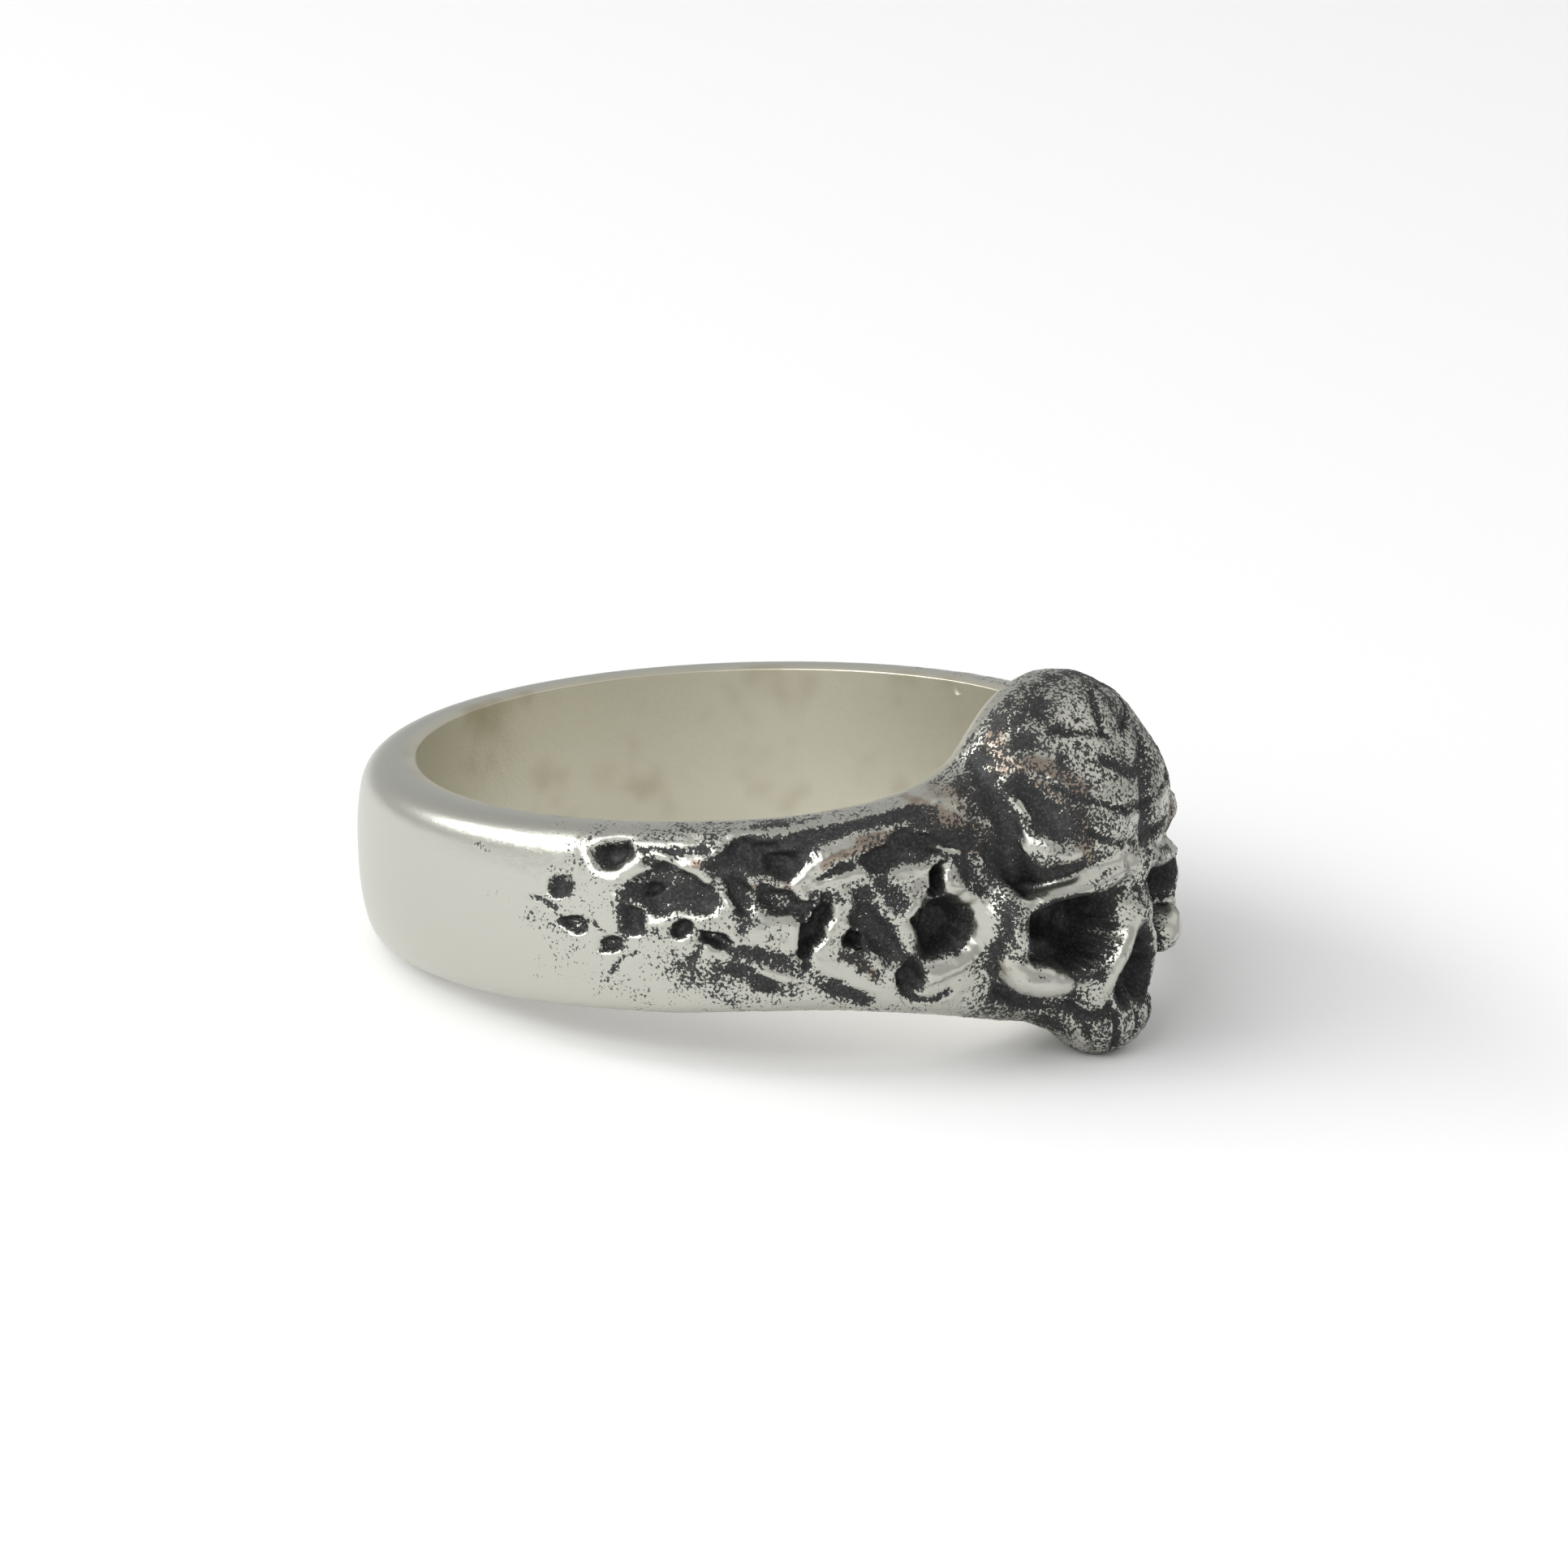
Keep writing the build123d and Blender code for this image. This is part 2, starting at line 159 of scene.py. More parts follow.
# Hollows of the shoulder.
# Columns: name, angle from the skull, height (share of half the band's
# height), half length and half width (shares of the band's height), turn in
# degrees, depth (share of the relief's depth), flat share of the floor, and
# rim (share of the relief's rim).
SHOULDER = [
    ("crater", 27.6, -0.20, 0.220, 0.205, 10, 0.95, 0.30, 0.8),
    ("crater spur", 28.6, 0.33, 0.135, 0.055, -76, 0.60, 0.35, 0.5),
    ("crater lobe", 31.6, -0.07, 0.092, 0.073, 9, 0.64, 0.35, 0.2),
    ("crater foot", 33.4, -0.66, 0.140, 0.070, -66, 0.36, 0.30, 0.0),
    ("long hollow", 38.7, -0.10, 0.300, 0.120, 64, 0.30, 0.30, 0.2),
    ("long hollow pit", 41.6, -0.20, 0.070, 0.062, 6, 0.48, 0.20, 0.0),
    ("top hollow", 30.8, 0.75, 0.230, 0.080, 9, 0.22, 0.20, 0.0),
    ("top dip", 36.7, 0.66, 0.150, 0.085, 7, 0.25, 0.20, 0.0),
    ("slot", 47.6, -0.02, 0.220, 0.080, -70, 0.55, 0.35, 0.4),
    ("broad hollow", 56.2, 0.74, 0.290, 0.110, -8, 0.27, 0.20, 0.0),
    ("deep hollow", 52.2, 0.68, 0.165, 0.115, 3, 0.42, 0.25, 0.2),
    ("mid hollow", 52.6, 0.27, 0.190, 0.110, 8, 0.30, 0.25, 0.0),
    ("crescent", 58.2, 0.38, 0.190, 0.072, 53, 0.24, 0.30, 0.2),
    ("oval", 67.8, 0.39, 0.305, 0.155, 8, 0.31, 0.45, 0.4),
    ("oval pit", 70.9, 0.42, 0.085, 0.080, 0, 0.52, 0.20, 0.0),
    ("oval lobe", 74.2, 0.10, 0.085, 0.120, 0, 0.24, 0.30, 0.0),
    ("round pit", 77.3, 0.77, 0.132, 0.100, -22, 0.36, 0.40, 0.6),
    ("pit one", 66.4, 0.00, 0.080, 0.070, 0, 0.28, 0.30, 0.0),
    ("pit two", 62.2, -0.12, 0.095, 0.062, 0, 0.32, 0.30, 0.2),
    ("pit three", 85.6, 0.43, 0.110, 0.075, -5, 0.20, 0.30, 0.0),
    ("pit four", 83.0, 0.05, 0.090, 0.058, -5, 0.22, 0.30, 0.0),
    ("pit five", 77.7, -0.20, 0.085, 0.060, 12, 0.24, 0.30, 0.0),
]

# Waves that make the hollows' outlines uneven.
# Columns: 0 if it moves them along and 1 if up, size (share of the stray),
# turns along and turns up in one height of the band, start, and 1 if each
# hand's shoulder starts at a place of its own.
WAVES = [
    (0, 1.0, 1.1, 2.6, 0, 1),
    (1, 1.0, 2.3, -0.9, 1, 1),
    (0, 0.5, 6.4, -5.0, 0, 0),
    (1, 0.5, 4.5, 7.3, 0, 0),
]

# Marks on the skull: grooves, low ridges, where the polish or the patina stayed,
# and painted shade on the eyes' walls. Columns: name, 1 if there is one on each
# side, width, height above the surface, patina, tan stain, and the points that it
# runs through as side, fore and up.
MARKS = [
    ("suture", 0, 0.13, -0.09, 0.38, 0.0,
     [(-0.2, 11.5, 5.1), (0.2, 11.8, 4.8), (0.4, 12.1, 4.4), (0.4, 12.3, 4.1)]),
    ("cross suture", 1, 0.12, -0.08, 0.4, 0.0,
     [(1.9, 11.5, 4.5), (1.5, 11.8, 4.4), (0.8, 12.2, 4.2), (0.4, 12.3, 4.1)]),
    ("crown smudge", 1, 0.34, -0.04, 0.30, 0.0,
     [(0.3, 10.7, 5.5), (1.3, 10.6, 5.3), (1.7, 11.2, 4.9), (1.8, 11.5, 4.5)]),
    ("side suture", 1, 0.12, -0.08, 0.5, 0.0,
     [(2.7, 11.7, 3.4), (2.6, 12.0, 3.1), (2.4, 12.3, 2.9), (2.1, 12.6, 2.7), (1.7, 12.9, 2.5),
      (1.2, 13.1, 2.3), (0.1, 13.2, 2.1)]),
    ("brow crack", 1, 0.14, -0.09, 0.5, 0.0,
     [(2.2, 12.8, 1.8), (1.7, 12.9, 1.5), (0.9, 13.1, 1.2), (0.0, 13.2, 1.1)]),
    ("middle groove", 0, 0.30, -0.10, 0.30, 0.0,
     [(-0.5, 13.0, 2.9), (-0.1, 13.2, 2.0), (-0.3, 13.1, 1.3), (-0.4, 13.1, 0.8)]),
    ("high groove", 0, 0.22, -0.08, 0.22, 0.0,
     [(-1.2, 12.5, 3.8), (-1.1, 12.6, 3.6), (-0.9, 12.9, 3.2)]),
    ("slash", 1, 0.20, -0.08, 0.3, 0.0, [(1.0, 12.6, 3.6), (0.6, 12.8, 3.3), (0.1, 12.9, 3.0)]),
    ("nose crack", 0, 0.08, -0.06, 0.5, 0.0,
     [(0.8, 12.7, -0.1), (0.4, 13.0, -0.1), (-0.4, 13.1, -0.15), (-0.8, 12.7, -0.1)]),
    ("crown blot", 1, 0.34, -0.03, 0.4, 0.0, [(2.6, 10.9, 4.3), (2.5, 11.2, 4.2)]),
    ("rim blot", 1, 0.34, -0.02, 0.25, 0.0, [(2.5, 10.2, 4.6), (2.2, 10.7, 4.8), (1.4, 10.9, 5.2)]),
    ("crown pit", 0, 0.14, -0.06, 0.6, 0.0, [(1.0, 11.8, 4.7), (1.05, 11.8, 4.7)]),
    ("middle pit", 0, 0.12, -0.06, 0.6, 0.0, [(-0.2, 13.15, 0.4), (-0.25, 13.15, 0.35)]),
    ("temple floor", 1, 0.40, 0.0, 0.60, 0.0,
     [(3.1, 11.0, 3.2), (2.9, 11.3, 2.8), (2.8, 11.7, 2.4), (2.8, 12.2, 1.9)]),
    ("temple corner", 1, 0.30, 0.0, 0.60, 0.0,
     [(3.3, 11.3, 2.2), (3.2, 11.7, 1.95), (2.9, 12.1, 1.85)]),
    ("low temple floor", 1, 0.30, 0.0, 0.70, 0.0,
     [(3.4, 11.5, 1.0), (3.1, 11.8, 0.7), (2.8, 12.2, 0.8), (2.4, 12.5, 1.0)]),
    ("temple edge", 1, 0.22, 0.08, -0.32, 0.0,
     [(3.3, 10.3, 3.6), (3.4, 10.7, 3.1), (3.25, 11.2, 2.55), (3.3, 11.45, 2.1), (3.4, 11.5, 1.5)]),
    ("temple bar", 1, 0.20, 0.08, -0.24, 0.0, [(3.4, 11.5, 1.6), (3.1, 12.1, 1.55), (2.5, 12.6, 1.3)]),
    ("valley", 1, 0.45, -0.12, 0.40, 0.0,
     [(3.2, 9.9, 3.8), (3.5, 10.4, 3.4), (3.5, 10.8, 2.7), (3.5, 11.0, 2.2), (3.5, 11.1, 1.6),
      (3.3, 11.1, 0.7), (3.2, 11.2, 0.2)]),
    ("valley side", 1, 0.60, 0.0, 0.32, 0.3,
     [(4.0, 10.0, 3.0), (3.9, 10.4, 2.4), (3.7, 10.6, 1.6), (3.6, 10.7, 0.8)]),
    ("outer arc", 1, 0.22, -0.08, 0.35, 0.0,
     [(3.6, 11.4, 0.0), (4.2, 11.4, -0.5), (4.3, 11.1, -1.1), (4.2, 10.8, -1.8), (3.4, 10.5, -2.6)]),
    ("low valley", 1, 0.30, -0.08, 0.30, 0.0,
     [(3.4, 10.5, -2.6), (2.4, 10.8, -3.3), (1.8, 11.5, -3.5)]),
    ("rim polish", 1, 0.16, 0.0, -0.30, 0.0,
     [(2.3, 8.9, 4.2), (2.4, 9.4, 4.6), (1.8, 9.6, 5.1), (1.2, 9.8, 5.4)]),
    ("rim haze", 1, 0.40, 0.0, 0.26, 0.0,
     [(2.3, 9.9, 4.8), (1.7, 10.1, 5.2), (1.0, 10.3, 5.6), (0.3, 10.5, 5.7)]),
    ("crown stain", 1, 0.48, 0.0, -0.12, 1.0, [(2.7, 10.2, 4.4), (3.0, 10.3, 4.1), (3.2, 10.6, 3.7)]),
    ("side stain", 1, 0.34, 0.0, 0.08, 0.9,
     [(3.0, 11.1, 3.7), (2.7, 11.4, 3.7), (2.5, 11.8, 3.6), (2.3, 12.0, 3.4), (2.1, 12.4, 3.1),
      (2.1, 12.5, 2.9)]),
    ("temple stain", 1, 0.22, 0.0, 0.08, 0.9,
     [(2.9, 11.6, 3.2), (2.6, 12.0, 2.9), (2.5, 12.4, 2.5), (2.4, 12.6, 2.1)]),
    ("red stain", 1, 0.32, 0.0, 0.10, 1.2, [(2.4, 12.6, 2.3), (2.3, 12.7, 1.7), (2.1, 12.7, 1.1)]),
    ("brow", 1, 0.20, 0.06, -0.70, 0.0,
     [(3.6, 11.6, 0.05), (3.2, 11.95, 0.22), (3.0, 12.1, 0.28), (2.8, 12.3, 0.34),
      (2.5, 12.5, 0.42), (1.9, 12.75, 0.58)]),
    ("brow shade", 1, 0.16, 0.0, 0.45, 0.0,
     [(3.4, 11.8, 0.50), (3.1, 12.1, 0.60), (2.7, 12.4, 0.68), (2.3, 12.55, 0.8)]),
    ("inner brow", 1, 0.20, 0.0, -0.4, 0.0, [(1.9, 12.75, 0.6), (1.4, 12.9, 0.8), (0.7, 13.1, 0.75)]),
    ("brow nick", 1, 0.12, -0.05, 0.8, 0.0, [(2.1, 12.7, 0.3), (1.9, 12.8, 0.4)]),
    ("glabella", 1, 0.36, 0.0, -0.2, 0.0, [(1.1, 13.0, 0.4), (0.5, 13.1, 0.5), (0.0, 13.1, 0.6)]),
    ("cheekbone", 1, 0.46, 0.0, -0.55, 0.0,
     [(4.15, 11.35, -2.0), (4.0, 11.7, -2.25), (3.7, 12.0, -2.35), (3.3, 12.3, -2.4),
      (3.0, 12.3, -2.35)]),
    ("cheekbone fill", 1, 0.28, 0.10, -0.50, 0.4,
     [(4.15, 11.3, -1.70), (3.9, 11.6, -1.82), (3.6, 11.8, -1.92), (3.3, 12.1, -2.05)]),
    ("cheekbone stain", 1, 0.14, 0.0, 0.30, 0.8,
     [(4.2, 11.3, -1.70), (3.8, 11.65, -1.85), (3.4, 11.95, -2.0)]),
    # The eye corner, eye floor and eye side marks blacken the sockets' walls: partly their patina,
    # partly painted shade.
    ("eye corner", 1, 0.30, 0.0, 0.9, 0.0,
     [(0.95, 12.3, -0.35), (0.85, 12.35, -0.8), (0.85, 12.3, -1.2)]),
    ("eye floor", 1, 0.36, 0.0, 0.9, 0.0, [(2.4, 11.2, -1.45), (2.2, 11.2, -1.6), (1.8, 11.4, -1.85)]),
    ("eye corner polish", 1, 0.20, 0.0, -0.7, 0.0, [(3.3, 11.6, -1.55), (3.2, 11.8, -1.8)]),
    ("eye side", 1, 0.22, 0.0, 0.9, 0.0,
     [(0.87, 12.5, -0.45), (0.85, 12.53, -0.92), (0.8, 12.46, -1.4), (1.0, 12.44, -1.78),
      (1.23, 12.25, -2.06)]),
    ("eye bar", 1, 0.14, 0.03, -1.0, 0.0, [(1.9, 12.2, -2.2), (1.6, 12.25, -2.15), (1.3, 12.3, -2.1)]),
    ("cheek gap", 1, 0.20, -0.08, 0.6, 0.0,
     [(2.2, 12.2, -2.45), (1.9, 12.4, -2.45), (1.4, 12.6, -2.45)]),
    ("maxilla", 1, 0.30, 0.0, -0.25, 0.0, [(1.9, 12.2, -2.8), (1.5, 12.4, -3.0), (1.3, 12.5, -3.3)]),
    ("tooth crease", 1, 0.15, -0.12, 0.6, 0.0,
     [(1.8, 11.7, -3.3), (1.7, 12.0, -3.6), (1.5, 12.3, -3.7), (1.2, 12.6, -3.6),
      (1.0, 12.6, -3.4)]),
    ("tooth groove", 1, 0.16, -0.12, 0.6, 0.0,
     [(0.9, 12.7, -3.7), (0.9, 12.7, -4.2), (0.6, 12.5, -4.7)]),
    ("middle tooth groove", 0, 0.12, -0.08, 0.4, 0.0, [(0.0, 12.8, -3.9), (0.0, 12.8, -4.5)]),
    ("outer tooth groove", 1, 0.14, -0.10, 0.5, 0.0, [(1.6, 12.2, -4.0), (1.45, 12.1, -4.6)]),
    ("jaw patina", 1, 0.35, 0.0, 0.4, 0.0, [(1.9, 11.0, -3.9), (1.6, 11.6, -4.3)]),
    ("nose edge", 1, 0.22, 0.03, -0.5, 0.0,
     [(0.3, 13.15, -1.15), (0.6, 13.05, -1.6), (0.85, 12.95, -2.05), (1.05, 12.8, -2.5),
      (1.15, 12.65, -2.85)]),
    ("nose bone", 1, 0.30, 0.0, -0.30, 0.0,
     [(0.6, 13.05, -0.2), (0.55, 13.1, -0.7), (0.6, 13.05, -1.2)]),
    ("eye edge", 1, 0.12, 0.0, -0.4, 0.0,
     [(3.8, 11.5, 0.1), (4.1, 11.5, -0.2), (4.2, 11.6, -0.6), (4.0, 11.7, -1.1)]),
]

# Marks on the shoulders: streaks, low ridges and smudges between the hollows.
# Columns: name, width, height above the surface, patina, tan stain, and the
# points that it runs through, each as its angle from the skull and its height.
SHOULDER_MARKS = [
    ("pit rim", 0.10, 0.03, -0.35, 0.0,
     [(79.3, 2.37), (75.9, 2.38), (74.6, 2.08), (75.2, 1.77), (76.4, 1.52), (78.2, 1.15)]),
    ("top line", 0.08, 0.03, -0.5, 0.0, [(73.7, 2.30), (69.4, 2.33), (65.0, 2.30)]),
    ("top streak", 0.14, -0.05, 0.7, 0.0, [(72.9, 2.21), (69.3, 2.19), (66.5, 2.18), (62.9, 2.19)]),
    ("top streak end", 0.20, -0.03, 0.5, 0.0, [(68.6, 2.09), (67.4, 1.99)]),
    ("loop ridge", 0.09, 0.05, -0.4, 0.0,
     [(76.9, 1.31), (74.6, 1.65), (72.5, 1.99), (71.3, 2.14), (69.7, 2.15), (68.5, 1.98),
      (66.3, 1.76)]),
    ("arc ridge", 0.09, 0.05, -0.5, 0.0,
     [(66.3, 1.76), (63.8, 1.48), (61.7, 1.13), (60.2, 0.81), (59.4, 0.62)]),
    ("loop spot", 0.22, -0.05, 0.8, 0.0, [(71.9, 2.00), (71.3, 1.88), (69.4, 1.71)]),
    ("oval foot", 0.22, -0.03, 0.6, 0.0, [(75.7, 0.38), (75.4, 0.04), (75.4, -0.25)]),
    ("oval side", 0.20, 0.00, 0.5, 0.0, [(76.0, 0.65), (75.2, 0.95), (74.2, 1.15)]),
    ("oval hem", 0.24, 0.00, 0.35, 0.0, [(73.3, -0.08), (70.7, -0.14), (68.9, -0.25)]),
    ("oval floor", 0.42, 0.00, 0.35, 0.0, [(72.5, 0.95), (69.5, 1.05), (66.0, 1.00), (63.0, 0.75)]),
    ("pit two tail", 0.12, -0.03, 0.6, 0.0, [(64.2, -0.49), (64.9, -0.72), (66.3, -0.84)]),
    ("crescent arc", 0.08, 0.03, -0.5, 0.0, [(57.0, 0.98), (56.1, 0.68), (55.8, 0.40)]),
    ("crescent fringe", 0.22, 0.00, 0.45, 0.0, [(58.8, 0.44), (57.4, 0.17), (58.0, -0.05)]),
    ("blemish", 0.16, 0.00, 0.5, 0.0, [(102.0, 1.75), (100.0, 1.85), (98.5, 1.75)]),
    ("patch haze", 0.30, 0.00, 0.3, 0.0, [(87.6, 1.55), (84.6, 1.63), (82.2, 1.77)]),
    ("patch floor", 0.26, 0.00, 0.70, 0.0, [(86.3, 0.95), (84.2, 0.95)]),
    ("far streak", 0.12, -0.03, 0.7, 0.0, [(90.4, 0.67), (88.6, 0.66), (87.5, 0.54), (85.9, 0.48)]),
    ("pit four tail", 0.07, -0.03, 0.7, 0.0, [(81.1, 0.18), (79.5, 0.05), (78.1, -0.16)]),
    ("pit four haze", 0.30, 0.00, 0.28, 0.0, [(89.8, 0.18), (87.6, -0.03), (85.4, -0.08)]),
    ("pit five tail", 0.14, -0.03, 0.6, 0.0, [(77.3, -0.60), (75.0, -0.54)]),
    ("tail", 0.09, -0.04, 0.8, 0.0, [(77.6, -1.28), (76.7, -1.03), (75.6, -0.83), (73.5, -0.65)]),
    ("low speckle one", 0.60, 0.00, 0.22, 0.0, [(70.9, -0.98), (68.0, -1.18), (64.1, -1.17)]),
    ("low speckle two", 0.72, 0.00, 0.24, 0.0, [(66.2, -1.49), (61.2, -1.61), (56.3, -1.89)]),
    ("streak one", 0.24, -0.05, 0.30, 0.0,
     [(61.7, -0.94), (59.1, -1.07), (56.5, -1.35), (54.2, -1.71)]),
    ("streak two", 0.22, -0.04, 0.36, 0.0, [(59.3, -0.67), (57.5, -0.63), (55.6, -0.70)]),
    ("upper speckle", 0.34, 0.00, 0.22, 0.0, [(80.3, 2.46), (75.1, 2.45), (68.8, 2.44), (62.6, 2.41)]),
    ("rim speckle", 0.22, 0.00, 0.25, 0.0, [(63.1, 2.58), (60.6, 2.63), (58.1, 2.67)]),
    ("rim line", 0.09, 0.03, -0.8, 0.0,
     [(59.3, 2.49), (54.9, 2.54), (50.4, 2.59), (45.8, 2.67), (41.1, 2.75), (36.2, 2.83),
      (31.3, 2.94), (26.9, 3.03)]),
    ("top zone", 0.38, -0.02, 0.75, 0.0,
     [(58.0, 2.25), (52.8, 2.44), (47.0, 2.55), (41.5, 2.65), (36.3, 2.73), (32.3, 2.79)]),
    ("deep floor", 0.40, -0.04, 0.5, 0.0, [(55.6, 1.90), (52.8, 1.94), (50.3, 2.06), (48.2, 2.23)]),
    ("deep hem", 0.20, 0.00, 0.4, 0.0, [(55.7, 1.53), (53.1, 1.38), (50.9, 1.41)]),
    ("crinkled crest", 0.17, 0.07, -0.40, 0.0, [(50.0, 1.26), (47.6, 1.60), (46.0, 1.86)]),
    ("faint crest", 0.20, 0.05, -0.10, 0.0,
     [(46.0, 1.86), (43.1, 2.13), (40.4, 2.30), (37.5, 2.46), (35.8, 2.47)]),
    ("tan ridge", 0.20, 0.05, 0.12, 0.9, [(46.0, 1.67), (44.1, 1.83), (41.9, 1.94), (39.6, 2.06)]),
    ("tan shelf", 0.26, 0.00, 0.25, 0.9, [(40.1, 2.15), (37.3, 2.25), (34.7, 2.13), (32.9, 1.97)]),
    ("tan hem", 0.14, 0.03, 0.20, 0.9,
     [(59.5, 1.52), (57.6, 1.29), (55.6, 1.04), (53.4, 0.96), (51.2, 1.15)]),
    ("tan left", 0.18, 0.02, 0.20, 0.9, [(64.5, 1.84), (61.6, 1.75), (59.5, 1.62), (57.5, 1.46)]),
    ("tan crown", 0.46, 0.00, 0.45, 0.8, [(30.3, 2.66), (28.4, 2.50), (26.9, 2.32), (24.2, 1.97)]),
    ("tan neck", 0.26, 0.00, 0.25, 0.8, [(24.3, 1.89), (21.5, 1.48), (19.1, 1.16), (18.6, 0.66)]),
    ("lens streak", 0.12, -0.05, 0.9, 0.2, [(46.4, 1.30), (44.8, 1.48), (43.1, 1.56), (42.0, 1.56)]),
    ("smooth ridge", 0.13, 0.05, -0.6, 0.0, [(47.0, 1.13), (44.9, 1.24), (42.7, 1.28), (40.5, 1.36)]),
    ("slot cap", 0.20, 0.00, 0.45, 0.0, [(47.9, 0.86), (46.5, 0.94), (44.9, 0.86), (43.8, 0.68)]),
    ("slot edge", 0.13, -0.12, 0.9, 0.0,
     [(48.3, 0.64), (49.1, 0.21), (49.1, -0.41), (49.2, -0.80), (49.0, -1.14)]),
    ("slot side", 0.10, 0.04, -0.5, 0.0, [(50.3, -0.84), (50.3, -0.24), (50.6, 0.02)]),
    ("long pit", 0.24, -0.10, 0.9, 0.0, [(41.3, -0.56), (41.2, -0.70)]),
    ("long stain", 0.22, 0.00, 0.35, 0.7, [(43.5, -0.93), (41.7, -1.08), (40.9, -1.28)]),
    ("gold specks", 0.20, 0.00, 0.22, 0.8, [(40.3, -1.36), (38.8, -1.60)]),
    ("shelf dark", 0.34, -0.02, 0.42, 0.0, [(38.8, 1.51), (37.3, 1.17), (36.1, 0.67), (34.8, 0.25)]),
    ("shelf dark top", 0.30, -0.02, 0.45, 0.0, [(37.6, 1.76), (34.4, 1.80), (31.5, 1.60)]),
    ("shelf light", 0.28, 0.04, -0.25, 0.0, [(35.7, 1.14), (33.4, 1.17), (31.7, 1.29)]),
    ("bead", 0.15, 0.12, -1.4, 0.0, [(34.0, 0.06), (33.4, 0.22), (32.4, 0.33)]),
    ("spur line", 0.09, 0.04, -1, 0.0, [(28.3, 1.72), (26.8, 1.65), (25.2, 1.56)]),
    ("spur side", 0.10, 0.05, -1, 0.0, [(27.7, 1.26), (27.5, 1.05), (27.5, 0.83)]),
    ("crater edge", 0.20, 0.05, -0.9, 0.0,
     [(26.9, 0.61), (24.1, 0.25), (22.2, -0.11), (22.1, -0.50), (22.5, -0.94), (23.7, -1.33),
      (26.0, -1.64), (28.7, -1.77), (30.5, -1.94)]),
    ("crater top dark", 0.28, -0.02, 0.5, 0.0,
     [(25.6, 1.44), (24.7, 1.18), (24.3, 0.83), (22.9, 0.48)]),
    ("neck speckle", 0.40, 0.00, 0.2, 0.0, [(21.6, -0.04), (21.1, -0.36), (21.5, -0.82)]),
    ("foot", 0.24, -0.06, 0.7, 0.0, [(34.0, -1.22), (32.2, -1.74), (31.9, -2.05)]),
    ("foot ridge", 0.10, 0.05, -0.5, 0.0, [(30.7, -1.97), (31.2, -2.28)]),
    ("low arc", 0.14, -0.06, 0.7, 0.0,
     [(34.5, -2.21), (32.6, -2.44), (30.2, -2.58), (28.5, -2.50), (27.2, -2.37)]),
    ("diagonal one", 0.30, -0.05, 0.45, 0.0,
     [(58.6, -0.67), (55.7, -0.81), (52.4, -1.00), (50.0, -1.31), (47.3, -1.60), (44.3, -1.89),
      (41.6, -2.17), (39.6, -2.33)]),
    ("diagonal two", 0.28, -0.04, 0.30, 0.0,
     [(59.5, -1.12), (57.4, -1.34), (55.6, -1.62), (53.1, -1.79), (50.0, -1.90)]),
    ("diagonal gap", 0.12, 0.03, -0.25, 0.0, [(56.2, -1.26), (54.1, -1.35), (51.6, -1.46)]),
    ("end dark", 0.36, -0.03, 0.38, 0.0, [(46.5, -1.96), (43.4, -2.16), (40.7, -2.29)]),
    ("low bare", 0.26, 0.02, -0.4, 0.0, [(46.9, -1.07), (43.0, -1.48), (40.0, -1.97), (36.2, -2.38)]),
    ("belly bare", 0.40, 0.02, -0.08, 0.0, [(55.6, -0.04), (53.1, -0.21), (50.9, -0.43)]),
]


def joined(one, other, blend):
    """Distance to two masses run together over a soft fillet."""
    share = np.clip(0.5 + 0.5 * (other - one) / blend, 0, 1)
    return other + (one - other) * share - blend * share * (1 - share)


def hollowed(mass, hollow, blend):
    """Distance to a mass with a hollow taken out of it, its edge softened."""
    return -joined(-mass, hollow, blend)


def ramp(low, high, value):
    """Smooth step from 0 at low to 1 at high."""
    share = np.clip((value - low) / (high - low), 0, 1)
    return share * share * (3 - 2 * share)


def rounded_mass(point, middle, half, yaw, slant, pitch):
    """Distance to an egg shape that is turned, tipped sideways and nodded."""
    side, fore, up = (point[i] - middle[i] for i in range(3))
    cos, sin = math.cos(math.radians(yaw)), math.sin(math.radians(yaw))
    side, fore = side * cos - fore * sin, side * sin + fore * cos
    cos, sin = math.cos(math.radians(slant)), math.sin(math.radians(slant))
    side, up = side * cos - up * sin, side * sin + up * cos
    cos, sin = math.cos(math.radians(pitch)), math.sin(math.radians(pitch))
    fore, up = fore * cos + up * sin, up * cos - fore * sin
    near = np.sqrt((side / half[0]) ** 2 + (fore / half[1]) ** 2 + (up / half[2]) ** 2)
    slope = np.sqrt((side / half[0] ** 2) ** 2 + (fore / half[1] ** 2) ** 2
                    + (up / half[2] ** 2) ** 2)
    return near * (near - 1) / np.maximum(slope, 1e-9)


def flare(angle):
    """Top edge, bottom edge and belly radius of the band at an angle."""
    share = np.abs(angle) / shoulder_angle
    knots = FLARE[:, 0]
    cell = np.clip(np.searchsorted(knots, share) - 1, 0, len(knots) - 2)
    width = knots[cell + 1] - knots[cell]
    step = np.clip((share - knots[cell]) / width, 0, 1)
    found = []
    for column in (1, 2, 3):
        values = FLARE[:, column]
        slopes = np.gradient(values, knots)
        slopes[0] = 0
        low, high = values[cell], values[cell + 1]
        bend_low, bend_high = width * slopes[cell], width * slopes[cell + 1]
        curve = low + step * step * (3 - 2 * step) * (high - low)
        curve += step * (1 - step) ** 2 * bend_low - step * step * (1 - step) * bend_high
        found.append(curve)
    rise, drop, swell = found
    return (half_height + shoulder_rise * rise, -half_height - shoulder_drop * drop,
            belly_radius + shoulder_swell * swell)


def band(point):
    """Distance to the D-shaped band, open to the bore."""
    side, fore, up = point
    top, bottom, belly = flare(np.degrees(np.arctan2(side, fore)))
    middle, half = (top + bottom) / 2, (top - bottom) / 2
    rise = np.abs(up - middle)
    crown = band_crown * (rise / half) ** crown_power
    return hollowed(np.hypot(side, fore) - belly + crown, half - rise, rim_round)


